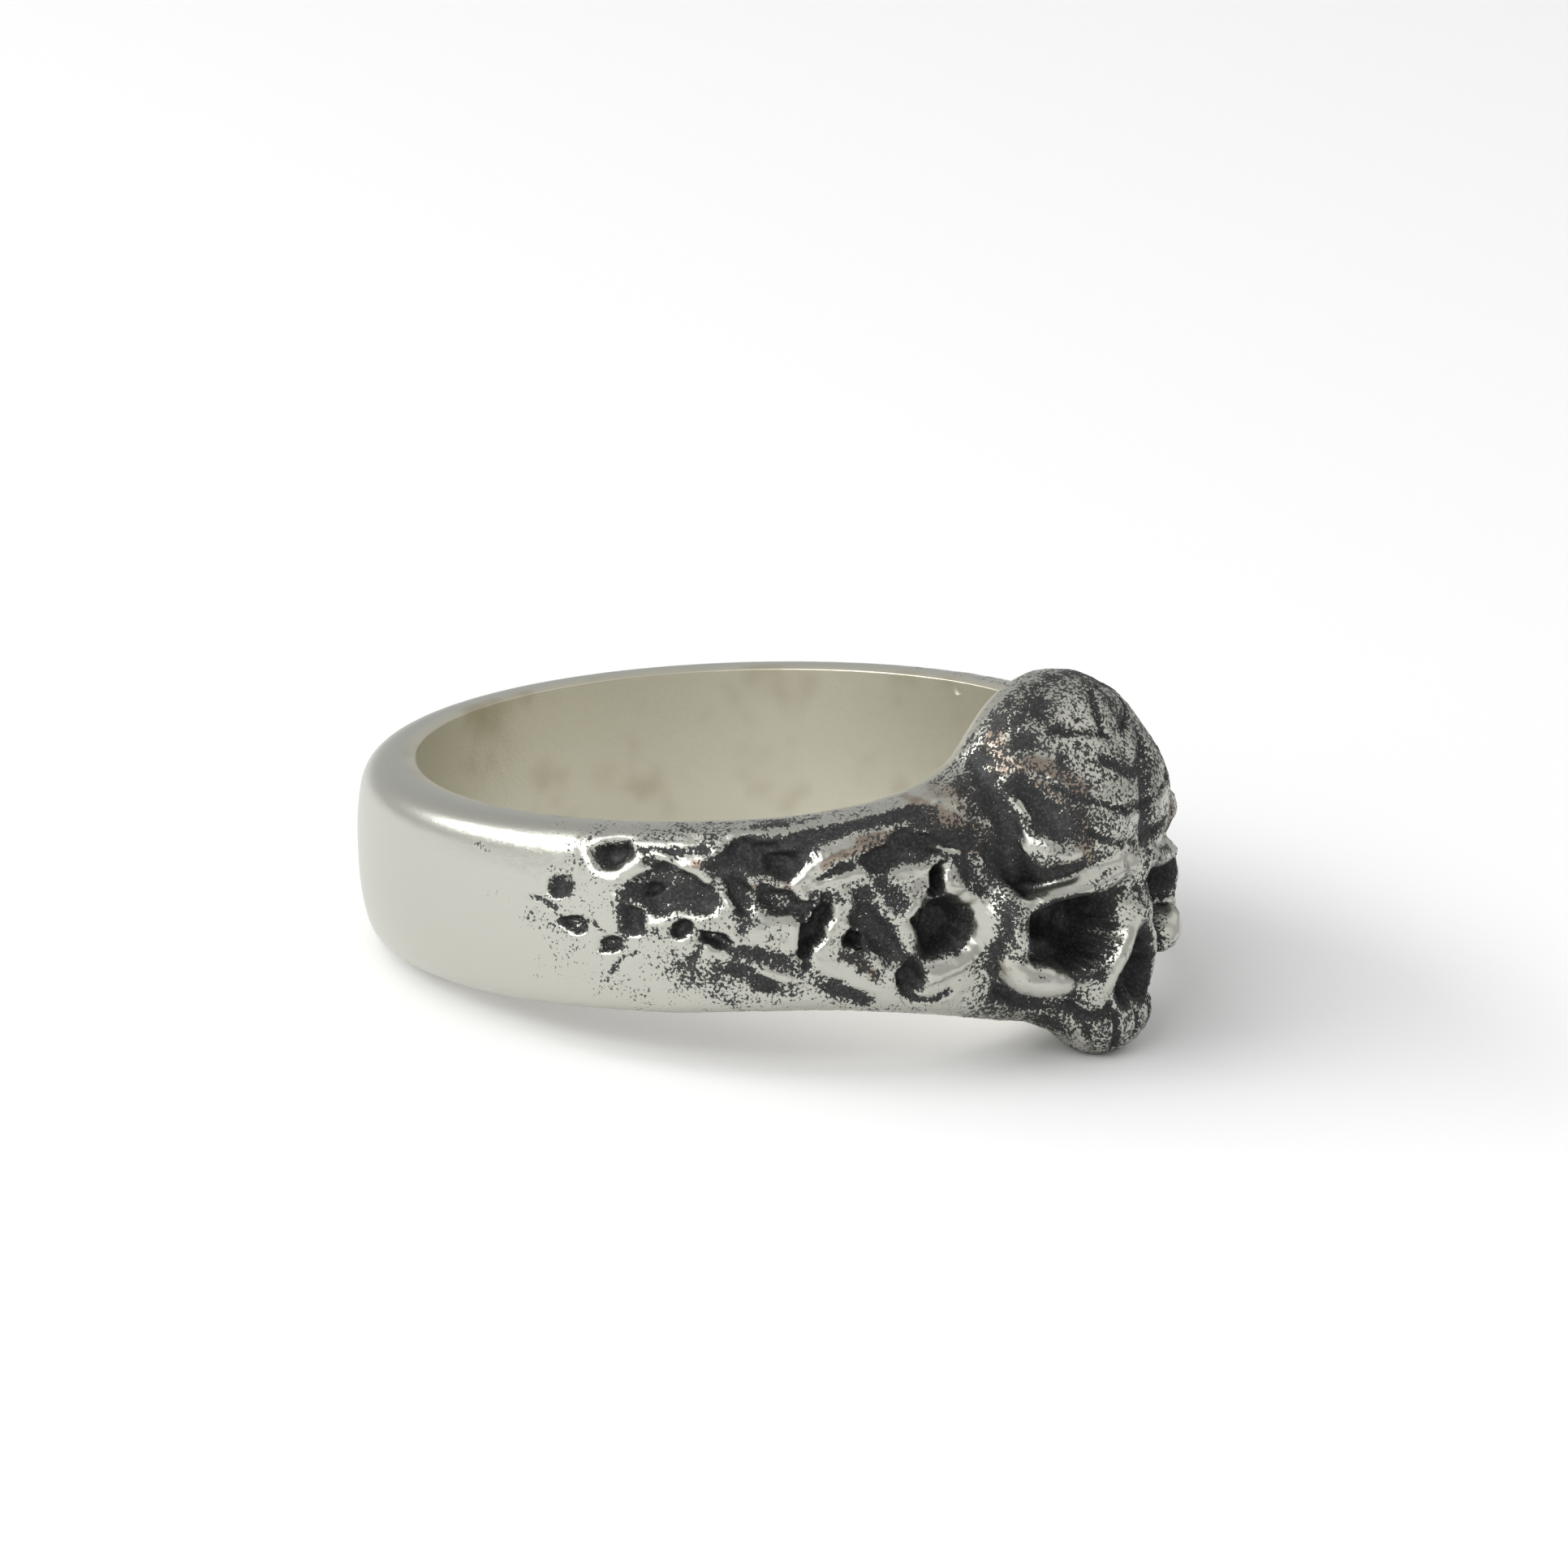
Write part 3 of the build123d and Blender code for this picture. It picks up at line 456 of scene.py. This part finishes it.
def relief(point):
    """How far the shoulder's surface lies below the plain band's, and how far
    inside a hollow's outline it is."""
    outline_edge = (0.72, 1.06)
    rim_clear = (0.82, 1.0)
    crest_clear = (0.02 * relief_depth, 0.12 * relief_depth)
    side, fore, up = point
    angle = np.degrees(np.arctan2(side, fore))
    top, bottom, belly = flare(angle)
    edge = np.abs(2 * up - top - bottom) / (top - bottom)
    hand = np.sign(angle)
    along = np.radians(np.abs(angle)) * belly_radius
    turn = 2 * math.pi / band_height
    stray = [along, up]
    for course, size, turns_along, turns_up, start, handed in WAVES:
        phase = turn * (turns_along * along + turns_up * up) + start + handed * hand
        stray[course] = stray[course] + size * relief_stray * np.sin(phase)
    cut = np.zeros_like(along)
    raised = np.zeros_like(along)
    within = np.zeros_like(along)
    for name, place, height, length, width, slope, depth, floor, rim in SHOULDER:
        cos, sin = math.cos(math.radians(slope)), math.sin(math.radians(slope))
        across = stray[0] - math.radians(place) * belly_radius
        above = stray[1] - height * half_height
        far = np.hypot((across * cos + above * sin) / length,
                       (above * cos - across * sin) / width) / band_height
        cut = np.maximum(cut, depth * relief_depth * (1 - ramp(floor, 1.0, far)))
        within = np.maximum(within, 1 - ramp(*outline_edge, far))
        lip = relief_lip / (band_height * math.sqrt(length * width))
        crest = rim * relief_rim * np.exp(-((far - 1 - lip) / lip) ** 2)
        raised = np.maximum(raised, crest)
    whole = 1 - ramp(*crest_clear, cut)
    depth = (cut - raised * whole) * (1 - ramp(*rim_clear, edge))
    return depth, within


def face_point(point):
    """A point as the skull has it, which is turned a little on the band."""
    side, fore, up = point
    axis = bore_radius + skull_reach / 2
    cos, sin = math.cos(math.radians(skull_turn)), math.sin(math.radians(skull_turn))
    side, fore = side * cos - (fore - axis) * sin, side * sin + (fore - axis) * cos
    return side, fore + axis, up


def middle_of(row):
    """Middle of a mass or hollow of the skull, from its shares."""
    return (row[2] * half_width, bore_radius + row[3] * skull_reach,
            skull_lift + row[4] * half_tall)


def skull(point):
    """Distance to the bones of the skull, run together."""
    whole = face_point(point)
    paired = (np.abs(whole[0]), whole[1], whole[2])
    bones = None
    for row in MASSES:
        half = (row[5] * half_width, row[6] * skull_reach, row[7] * half_tall)
        mass = rounded_mass(paired if row[1] else whole, middle_of(row), half, *row[8:11])
        bones = mass if bones is None else joined(bones, mass, row[11] * skull_blend)
    return bones


def opened(point, mass):
    """The eyes, nose, temples and cheeks hollowed out."""
    whole = face_point(point)
    paired = (np.abs(whole[0]), whole[1], whole[2])
    for row in OPENINGS:
        size = OPENING_SIZES[row[0]]
        half = tuple(row[5 + i] * size[i] for i in range(3))
        hollow = rounded_mass(paired if row[1] else whole, middle_of(row), half, *row[8:11])
        mass = hollowed(mass, hollow, row[11] * skull_blend)
    return mass


def bore_side(point):
    """Rounds the rims into the bore, short of its wall, which is cut true."""
    inner = bore_radius - rim_round / 2
    return inner - np.hypot(point[0], point[1])


def blank(point):
    """The casting's main form, with nothing hollowed out."""
    mass = joined(band(point), skull(point), skull_blend)
    return hollowed(mass, -bore_side(point), rim_round)


def casting(point):
    """The whole casting, down to the liner that closes the eyes' floors."""
    mass = joined(band(point) + relief(point)[0], skull(point), skull_blend)
    mass = opened(point, mass)
    liner = np.hypot(point[0], point[1]) - bore_radius - liner_wall
    mass = np.minimum(mass, np.maximum(liner, np.abs(point[2]) - half_height + rim_round / 2))
    return hollowed(mass, -bore_side(point), rim_round)


def shoot(form, angles, place, tries=26):
    """Points where rays from inside the metal leave the form.

    place runs from 0 to 1 round a section: up the outside, over the top,
    down the bore and back underneath.
    """
    splay, inset, careful = 25, 0.3, 0.85
    stops = [0, 0.5, 0.7, 0.8, 1]
    share = np.interp(place, stops, [-1, 1, 1, -1, -1])
    lean = np.radians(np.interp(place, stops, [-splay, splay, 180, 180, 360 - splay]))
    turn = np.radians(angles)[:, None]
    top, bottom, belly = flare((angles + 180) % 360 - 180)
    margin = band_wall / 2
    middle = ((top + bottom) / 2)[:, None]
    start_up = middle + ((top - bottom) / 2 - margin)[:, None] * share
    start_out = bore_radius + inset * band_wall
    longest = skull_reach + band_wall
    run = np.full(start_up.shape, longest)
    for attempt in range(tries):
        out, up = start_out + np.cos(lean) * run, start_up + np.sin(lean) * run
        gap = form((out * np.sin(turn), out * np.cos(turn), up))
        run = np.clip(run - careful * gap, 0, longest)
    out, up = start_out + np.cos(lean) * run, start_up + np.sin(lean) * run
    return np.stack([out * np.sin(turn), out * np.cos(turn), up], -1)


def spread_rows(angles):
    """Places round each section that space its rows evenly on the blank."""
    fine = 4 * section_rows
    bore_from, bore_to, bore_share = 0.68, 0.82, 0.12
    place = np.repeat(np.linspace(0, 1, fine, endpoint=False)[None], len(angles), 0)
    ring = shoot(blank, angles, place, tries=14)
    length = np.linalg.norm(np.roll(ring, -1, 1) - ring, axis=-1) + 1e-4
    length = np.where((place > bore_from) & (place < bore_to), bore_share * length, length)
    for smoothing in range(4):
        length = (np.roll(length, 1, 0) + 2 * length + np.roll(length, -1, 0)) / 4
    total = np.concatenate([np.zeros((len(angles), 1)), np.cumsum(length, 1)], 1)
    ends = np.concatenate([place, np.ones((len(angles), 1))], 1)
    wanted = np.arange(section_rows) / section_rows
    return np.stack([np.interp(wanted * t[-1], t, e) for t, e in zip(total, ends)])


def column_angles():
    """Angles of the sections, close together at the face."""
    face = np.linspace(-face_edge, face_edge, face_columns, endpoint=False)
    near = np.linspace(face_edge, relief_edge, shoulder_columns, endpoint=False)
    shank = np.linspace(relief_edge, 360 - relief_edge, shank_columns, endpoint=False)
    far = np.linspace(360 - relief_edge, 360 - face_edge, shoulder_columns, endpoint=False)
    return np.concatenate([face, near, shank, far])


def outward(points):
    """Unit normals of the closed grid."""
    along = np.roll(points, -1, 0) - np.roll(points, 1, 0)
    round_section = np.roll(points, -1, 1) - np.roll(points, 1, 1)
    normal = np.cross(round_section, along)
    return normal / np.maximum(np.linalg.norm(normal, axis=-1, keepdims=True), 1e-9)


def grain(points, size, seed):
    """Uneven field from -1 to 1 with cells of a given size."""
    roughness, spacing, octaves = 0.7, 2.1, 3
    cells = points.reshape(-1, 3) / size + seed
    field = [noise.fractal(Vector(cell), roughness, spacing, octaves) for cell in cells]
    return np.array(field).reshape(points.shape[:2])


def hollowness(points, normals, reach):
    """Share of the room in front of each point that other metal takes."""
    spot = points + normals * reach
    gap = casting((spot[..., 0], spot[..., 1], spot[..., 2]))
    return np.clip(1 - gap / reach, -1, 2)


def nearness(points, line, width):
    """1 along a line of points and 0 beyond its width, eased between."""
    core, fringe = 0.35, 1.15
    least = np.full(points.shape[:-1], 1e9)
    for one, other in zip(line[:-1], line[1:]):
        one, run = np.array(one), np.array(other) - np.array(one)
        share = np.clip((points - one) @ run / (run @ run), 0, 1)
        least = np.minimum(least, np.linalg.norm(points - one - share[..., None] * run, axis=-1))
    return 1 - ramp(core * width, fringe * width, least)


def lined(points):
    """1 on the walls of the eyes and the nose, which get patina and painted shade, 0 away from them.
    """
    edge_near, edge_far = 0.08, 0.22
    whole = face_point((points[..., 0], points[..., 1], points[..., 2]))
    paired = (np.abs(whole[0]), whole[1], whole[2])
    wall = np.zeros(points.shape[:-1])
    for row in OPENINGS:
        if row[0] != "temple":
            size = OPENING_SIZES[row[0]]
            half = tuple(row[5 + i] * size[i] for i in range(3))
            gap = rounded_mass(paired if row[1] else whole, middle_of(row), half, *row[8:11])
            wall = np.maximum(wall, 1 - ramp(edge_near, edge_far, gap))
    return wall


angles = column_angles()
surface = shoot(casting, angles, spread_rows(angles))
normals = outward(surface)
away = np.abs(np.degrees(np.arctan2(surface[..., 0], surface[..., 1])))
depth = -blank((surface[..., 0], surface[..., 1], surface[..., 2]))

# The casting's skin ends on the band, and stays off the bore's wall
skin_end = (90, 102)
bore_margin = (bore_radius + 0.15, bore_radius + 0.5)
cast_zone = 1 - ramp(*skin_end, away)
outside = ramp(*bore_margin, np.hypot(surface[..., 0], surface[..., 1]))

# Soft lumps and small pores, which the polish took down towards the band
pore_size, pore_height = 0.20, 0.018
lump_size, lump_height = 0.55, 0.028
polish_zone, polish_share = (50, 80), 0.8
fine = grain(surface, pore_size, seed=11.0)
coarse = grain(surface, lump_size, seed=3.0)
lift = lump_height * coarse + pore_height * fine
lift *= 1 - polish_share * ramp(*polish_zone, away)

# Marks run through their points with a small stray to either side
head_stray = 0.06
streak_stray = 0.05
wander = surface + head_stray * np.stack([coarse, fine, -coarse], -1)
whole = np.stack(face_point((wander[..., 0], wander[..., 1], wander[..., 2])), -1)
paired = np.abs(whole * np.array([1, 0, 0])) + whole * np.array([0, 1, 1])
painted = np.zeros(away.shape)
stain = np.zeros(away.shape)
for name, twice, width, height, patina, tan, line in MARKS:
    near = nearness(paired if twice else whole, line, width)
    lift += height * near
    painted += patina * near
    stain = np.maximum(stain, tan * near)
flat = np.stack([np.radians(away) * belly_radius, surface[..., 2]], -1)
flat += streak_stray * np.stack([coarse, fine], -1)
for name, width, height, patina, tan, line in SHOULDER_MARKS:
    spots = [(math.radians(angle) * belly_radius, up) for angle, up in line]
    near = nearness(flat, spots, width) * outside
    lift += height * near
    painted += patina * near
    stain = np.maximum(stain, tan * near)
within = relief((surface[..., 0], surface[..., 1], surface[..., 2]))[1]
# Walls of the eyes and the nose, which get full darkness: partly their patina, partly painted shade
sockets = lined(surface)
surface = surface + normals * (lift * cast_zone * outside)[..., None]
normals = outward(surface)

# The bore's wall is true, so points near its radius are put on it
span = np.hypot(surface[..., 0], surface[..., 1])
true = np.where(span < bore_radius, bore_radius / span, 1.0)
surface[..., 0] *= true
surface[..., 1] *= true

# Patina stays where the polishing wheel couldn't reach, and the walls of the
# eyes and the nose also get painted shade. Its level round the ring comes first.
# Columns: degrees from the skull, and level.
PATINA_ROUND = np.array([
    (0, 0.43),
    (12, 0.43),
    (17, 0.50),
    (24, 0.38),
    (36, 0.30),
    (60, 0.25),
    (80, 0.14),
    (96, 0.0),
])
close_reach, wide_reach, crest_reach = 0.5, 1.3, 0.3
blotch_size, stain_size = 1.3, 1.4
underside_heights, underside_ends = (0.3, 0.9), (20, 26)
shallow_depths, deep_depths = (0.02, 0.22), (0.35, 0.75)
least_crest, most_crest = 0.15, 0.65
stained_from, stained_to, stained_heights = (15, 19), (26, 34), (0.3, 0.7)
socket_patina_and_shade, mark_share, most_patina = 1.1, 0.8, 1.15
cloud_share, cloud_contrast = 0.6, 0.8
height_share = surface[..., 2] / half_height
hollow = hollowness(surface, normals, close_reach)
wide_hollow = hollowness(surface, normals, wide_reach)
inside = surface - crest_reach * normals
crest = 1 + casting((inside[..., 0], inside[..., 1], inside[..., 2])) / crest_reach
underside = ramp(*underside_heights, -height_share) * ramp(*underside_ends, away)
blotches = grain(surface, blotch_size, seed=23.0)

# What each kind of place adds to that level or takes from it
dark = np.interp(away, PATINA_ROUND[:, 0], PATINA_ROUND[:, 1])
for share, kind_of_place in [
    (0.38, within),
    (0.18, ramp(*shallow_depths, depth)),
    (0.50, ramp(*deep_depths, depth)),
    (0.34, np.clip(hollow, -0.3, 1)),
    (0.22, np.clip(wide_hollow, 0, 1)),
    (0.24, blotches),
    (-0.12, underside),
    (-0.60, np.clip(crest, least_crest, most_crest) - least_crest),
]:
    dark += share * kind_of_place
# The walls of the eyes and the nose go to full darkness: partly their patina, partly painted shade.
dark = np.maximum(dark, socket_patina_and_shade * sockets) * cast_zone + mark_share * painted
dark = np.clip(dark, 0, most_patina) * outside

# A tan stain lies in clouds on the upper shoulders, besides the marks' own
stained = ramp(*stained_from, away) * (1 - ramp(*stained_to, away))
stained *= ramp(*stained_heights, height_share)
clouds = np.clip(0.5 + cloud_contrast * grain(surface, stain_size, seed=41.0), 0, 1)
tint = (stain + cloud_share * clouds * stained) * cast_zone * outside

# The skull's side and front look along -x and -y in the frame, and the ring
# leans as its finger hole does
bore_mount = frame["record"]["mounts"][0]
tilt = math.atan2(bore_mount["axis"][1], bore_mount["axis"][2])
settle = Matrix.Translation(bore_mount["pos_m"]) @ Matrix.Rotation(-tilt, 4, "X")
settled = np.array(settle)
millimetre = 0.001
spots = surface * np.array([-1, -1, 1]) * millimetre
spots = spots @ settled[:3, :3].T + settled[:3, 3]

# A round tube is spun into a plain ring, and each of its points is then moved
# to its place on the casting
tube = band_wall / 2 * millimetre
tube_centre = (bore_radius + band_wall / 2) * millimetre
bpy.ops.object.select_all(action="DESELECT")
bpy.ops.mesh.primitive_circle_add(vertices=section_rows, radius=tube,
                                  location=(0, 0, 0), rotation=(math.pi / 2, 0, 0))
ring = bpy.context.object
ring.name = ring.data.name = "ring_casting"
bpy.ops.object.transform_apply(location=False, rotation=True, scale=False)
ring.data.transform(Matrix.Translation((tube_centre, 0, 0)))
bpy.ops.object.mode_set(mode="EDIT")
bpy.ops.mesh.select_all(action="SELECT")
bpy.ops.mesh.spin(steps=len(angles), angle=2 * math.pi, center=(0, 0, 0), axis=(0, 0, 1))
bpy.ops.mesh.select_all(action="SELECT")
bpy.ops.mesh.remove_doubles(threshold=0.1 * tube / section_rows)
bpy.ops.object.mode_set(mode="OBJECT")
tube_points = np.empty(len(ring.data.vertices) * 3)
ring.data.vertices.foreach_get("co", tube_points)
tube_points = tube_points.reshape(-1, 3)
around = np.arctan2(tube_points[:, 1], tube_points[:, 0]) / (2 * math.pi)
off_centre = np.hypot(tube_points[:, 0], tube_points[:, 1]) - tube_centre
about = np.arctan2(tube_points[:, 2], off_centre) / (2 * math.pi)
column = np.rint(around * len(angles)).astype(int) % len(angles)
row = np.rint(about * section_rows).astype(int) % section_rows
ring.data.vertices.foreach_set("co", spots[column, row].reshape(-1))
# The patina layer also holds the painted shade on the walls of the eyes and the nose
for name, values in (("patina", dark), ("tint", tint), ("inner", 1 - outside)):
    layer = ring.data.attributes.new(name, "FLOAT", "POINT")
    layer.data.foreach_set("value", values[column, row].astype(np.float32))
ring.data.update()
bpy.ops.object.mode_set(mode="EDIT")
bpy.ops.mesh.select_all(action="SELECT")
bpy.ops.mesh.normals_make_consistent(inside=False)
bpy.ops.object.mode_set(mode="OBJECT")
bpy.ops.object.shade_smooth()


class Value:
    """A shader socket that Python's operators work on."""

    def __init__(self, tree, socket):
        self.tree, self.socket = tree, socket

    @staticmethod
    def node(tree, kind, settings, sockets, out=0):
        """One node with its settings, then its sockets' values or links."""
        made = tree.nodes.new(kind)
        for name, value in settings.items():
            setattr(made, name, value)
        for name, value in sockets.items():
            if isinstance(value, Value):
                tree.links.new(value.socket, made.inputs[name])
            else:
                made.inputs[name].default_value = value
        return Value(tree, made.outputs[out])

    def maths(self, kind, *others):
        sockets = dict(enumerate((self, *others)))
        return Value.node(self.tree, "ShaderNodeMath", {"operation": kind}, sockets)

    def __add__(self, other):
        return self.maths("ADD", other)

    def __radd__(self, other):
        return self.maths("ADD", other)

    def __sub__(self, other):
        return self.maths("SUBTRACT", other)

    def __rsub__(self, other):
        return self.maths("MULTIPLY_ADD", -1.0, other)

    def __mul__(self, other):
        return self.maths("MULTIPLY", other)

    def __rmul__(self, other):
        return self.maths("MULTIPLY", other)

    def soft_step(self, low, high):
        """0 below low and 1 above high, eased."""
        return Value.node(self.tree, "ShaderNodeMapRange", {"interpolation_type": "SMOOTHSTEP"},
                          {"Value": self, "From Min": low, "From Max": high})

    def blend(self, one, other):
        """Colour that runs from one to the other as this value runs from 0 to 1."""
        return Value.node(self.tree, "ShaderNodeMix", {"data_type": "RGBA"},
                          {0: self, 6: one, 7: other}, out=2)


# Silver polished on the high places, grey-brown where it is stained, soot black
# where the patina stayed and as painted shade on the walls of the eyes and the nose,
# and a warmer clouded grey on the bore's wall
polished_silver = (0.53, 0.53, 0.475, 1)
tan_silver = (0.35, 0.29, 0.235, 1)
bore_silver = (0.62, 0.60, 0.50, 1)
bore_cloud = (0.47, 0.43, 0.32, 1)
deep_soot_and_shade = (0.010, 0.0105, 0.011, 1)
pale_soot_and_shade = (0.045, 0.045, 0.043, 1)
silver_roughness, added_by_soot, added_in_bore = 0.3, 0.28, 0.12
soot_dullness = 0.8

# Cells of the patterns in a metre, what the patterns add to the patina's level,
# and the levels between which one finish turns into the other
speckles_a_metre, patches_a_metre, clouds_a_metre = 11000.0, 2600.0, 420.0
speckle_bite, patch_bite, stain_bite = 2.4, 0.6, 0.8
soot_edge, bare_edge = (0.42, 0.56), (0.02, 0.12)
stain_edge, cloud_edge, pale_edge = (0.35, 0.8), (0.50, 0.85), (0.45, 0.68)
speckle_depth, bump_strength, soot_sink = 0.00002, 0.35, 0.6

silver = bpy.data.materials.new("blackened_silver")
silver.use_nodes = True
tree = silver.node_tree
tree.nodes.clear()
coords = Value.node(tree, "ShaderNodeTexCoord", {}, {}, out=3)
patina = Value.node(tree, "ShaderNodeAttribute", {"attribute_name": "patina"}, {}, out=2)
brown = Value.node(tree, "ShaderNodeAttribute", {"attribute_name": "tint"}, {}, out=2)
inner = Value.node(tree, "ShaderNodeAttribute", {"attribute_name": "inner"}, {}, out=2)
speckle = Value.node(tree, "ShaderNodeTexNoise", {},
                     {"Vector": coords, "Scale": speckles_a_metre, "Detail": 3.0, "Roughness": 0.6})
patch = Value.node(tree, "ShaderNodeTexNoise", {},
                   {"Vector": coords, "Scale": patches_a_metre, "Detail": 2.0, "Roughness": 0.5})
cloud = Value.node(tree, "ShaderNodeTexNoise", {},
                   {"Vector": coords, "Scale": clouds_a_metre, "Detail": 2.0, "Roughness": 0.6})
level = patina + (speckle - 0.5) * speckle_bite + (patch - 0.5) * patch_bite
black = level.soft_step(*soot_edge) * patina.soft_step(*bare_edge)
tan = (brown + (patch - 0.5) * stain_bite).soft_step(*stain_edge)
bright = tan.blend(polished_silver, tan_silver)
wall = cloud.soft_step(*cloud_edge).blend(bore_silver, bore_cloud)
bright = inner.blend(bright, wall)
soot_and_shade = speckle.soft_step(*pale_edge).blend(deep_soot_and_shade, pale_soot_and_shade)
bump = Value.node(tree, "ShaderNodeBump", {},
                  {"Strength": bump_strength, "Distance": speckle_depth,
                   "Height": speckle - black * soot_sink})
shader = Value.node(tree, "ShaderNodeBsdfPrincipled", {},
                    {"Base Color": black.blend(bright, soot_and_shade),
                     "Metallic": 1 - black * soot_dullness,
                     "Roughness": silver_roughness + black * added_by_soot + inner * added_in_bore,
                     "Normal": bump})
output = tree.nodes.new("ShaderNodeOutputMaterial")
tree.links.new(shader.socket, output.inputs["Surface"])
ring.data.materials.append(silver)
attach(ring, "root")
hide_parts("skull_ring")

# White paper under the ring, wide enough to fill the picture and to
# light the ring from below
paper_side = 1.6
paper_white = (0.9, 0.9, 0.9, 1)
paper_roughness = 0.9
bpy.ops.object.select_all(action="DESELECT")
bpy.ops.mesh.primitive_plane_add(size=paper_side)
floor = bpy.context.object
floor.name = "floor"
paper = bpy.data.materials.new("white_paper")
paper.use_nodes = True
paper_shader = paper.node_tree.nodes["Principled BSDF"]
paper_shader.inputs["Base Color"].default_value = paper_white
paper_shader.inputs["Roughness"].default_value = paper_roughness
floor.data.materials.append(paper)

# Light tent: bright all round, with a long lamp behind the band on the left,
# two square ones on the left, one high and one low, and a weak one on the right
tent_strength = 0.56
world = bpy.data.worlds.new("tent")
bpy.context.scene.world = world
world.use_nodes = True
tent = world.node_tree.nodes["Background"]
tent.inputs["Color"].default_value = (1, 1, 1, 1)
tent.inputs["Strength"].default_value = tent_strength
middle = settle.translation


def lamp(name, spot, width, height, watts):
    """A soft box that shines on the ring from a spot around it, in metres."""
    light = bpy.data.lights.new(name, "AREA")
    light.shape = "RECTANGLE"
    light.size = width
    light.size_y = height
    light.energy = watts
    made = bpy.data.objects.new(name, light)
    bpy.context.scene.collection.objects.link(made)
    made.location = middle + Vector(spot)
    made.rotation_euler = (-Vector(spot)).to_track_quat("-Z", "Y").to_euler()


lamp("left_box", (-0.273, 0.325, 0.265), width=0.55, height=0.12, watts=1.5)
lamp("top_box", (-0.203, 0.203, 0.410), width=0.30, height=0.30, watts=0.5)
lamp("front_box", (-0.431, 0.0, 0.25), width=0.30, height=0.30, watts=0.8)
lamp("right_box", (0.170, -0.295, 0.366), width=0.45, height=0.45, watts=0.25)

# Camera at the photograph's distance, height and turn to the band. The middle of
# the bore falls on the middle pixel, off the middle of the picture.
camera_far = 0.250
camera_lift = 0.2514
camera_turn = math.radians(32.0)
camera_roll = -0.03476
focal_pixels = 10829.09
frame_pixels = 1932
middle_pixel = (910.70, 1022.68)
upright = settle.to_3x3()
toward = Vector((-math.cos(camera_lift) * math.cos(camera_turn),
                 -math.cos(camera_lift) * math.sin(camera_turn), math.sin(camera_lift)))
toward = upright @ toward
up = upright @ Vector((0, 0, 1))
right = up.cross(toward).normalized()
up = toward.cross(right)
roll = Matrix.Rotation(camera_roll, 3, toward)
right, up = roll @ right, roll @ up
aim = -toward + right * ((frame_pixels / 2 - middle_pixel[0]) / focal_pixels)
aim -= up * ((frame_pixels / 2 - middle_pixel[1]) / focal_pixels)
aim.normalize()
right = aim.cross(up).normalized()
up = right.cross(aim)
camera = bpy.data.objects.new("camera", bpy.data.cameras.new("camera"))
bpy.context.scene.collection.objects.link(camera)
turned = Matrix((right, up, -aim)).transposed().to_4x4()
camera.matrix_world = Matrix.Translation(middle + toward * camera_far) @ turned
camera.data.lens = camera.data.sensor_width * focal_pixels / frame_pixels
camera.data.clip_start = 0.01
camera.data.clip_end = 10
bpy.context.scene.camera = camera
bpy.context.scene.view_settings.view_transform = "Standard"
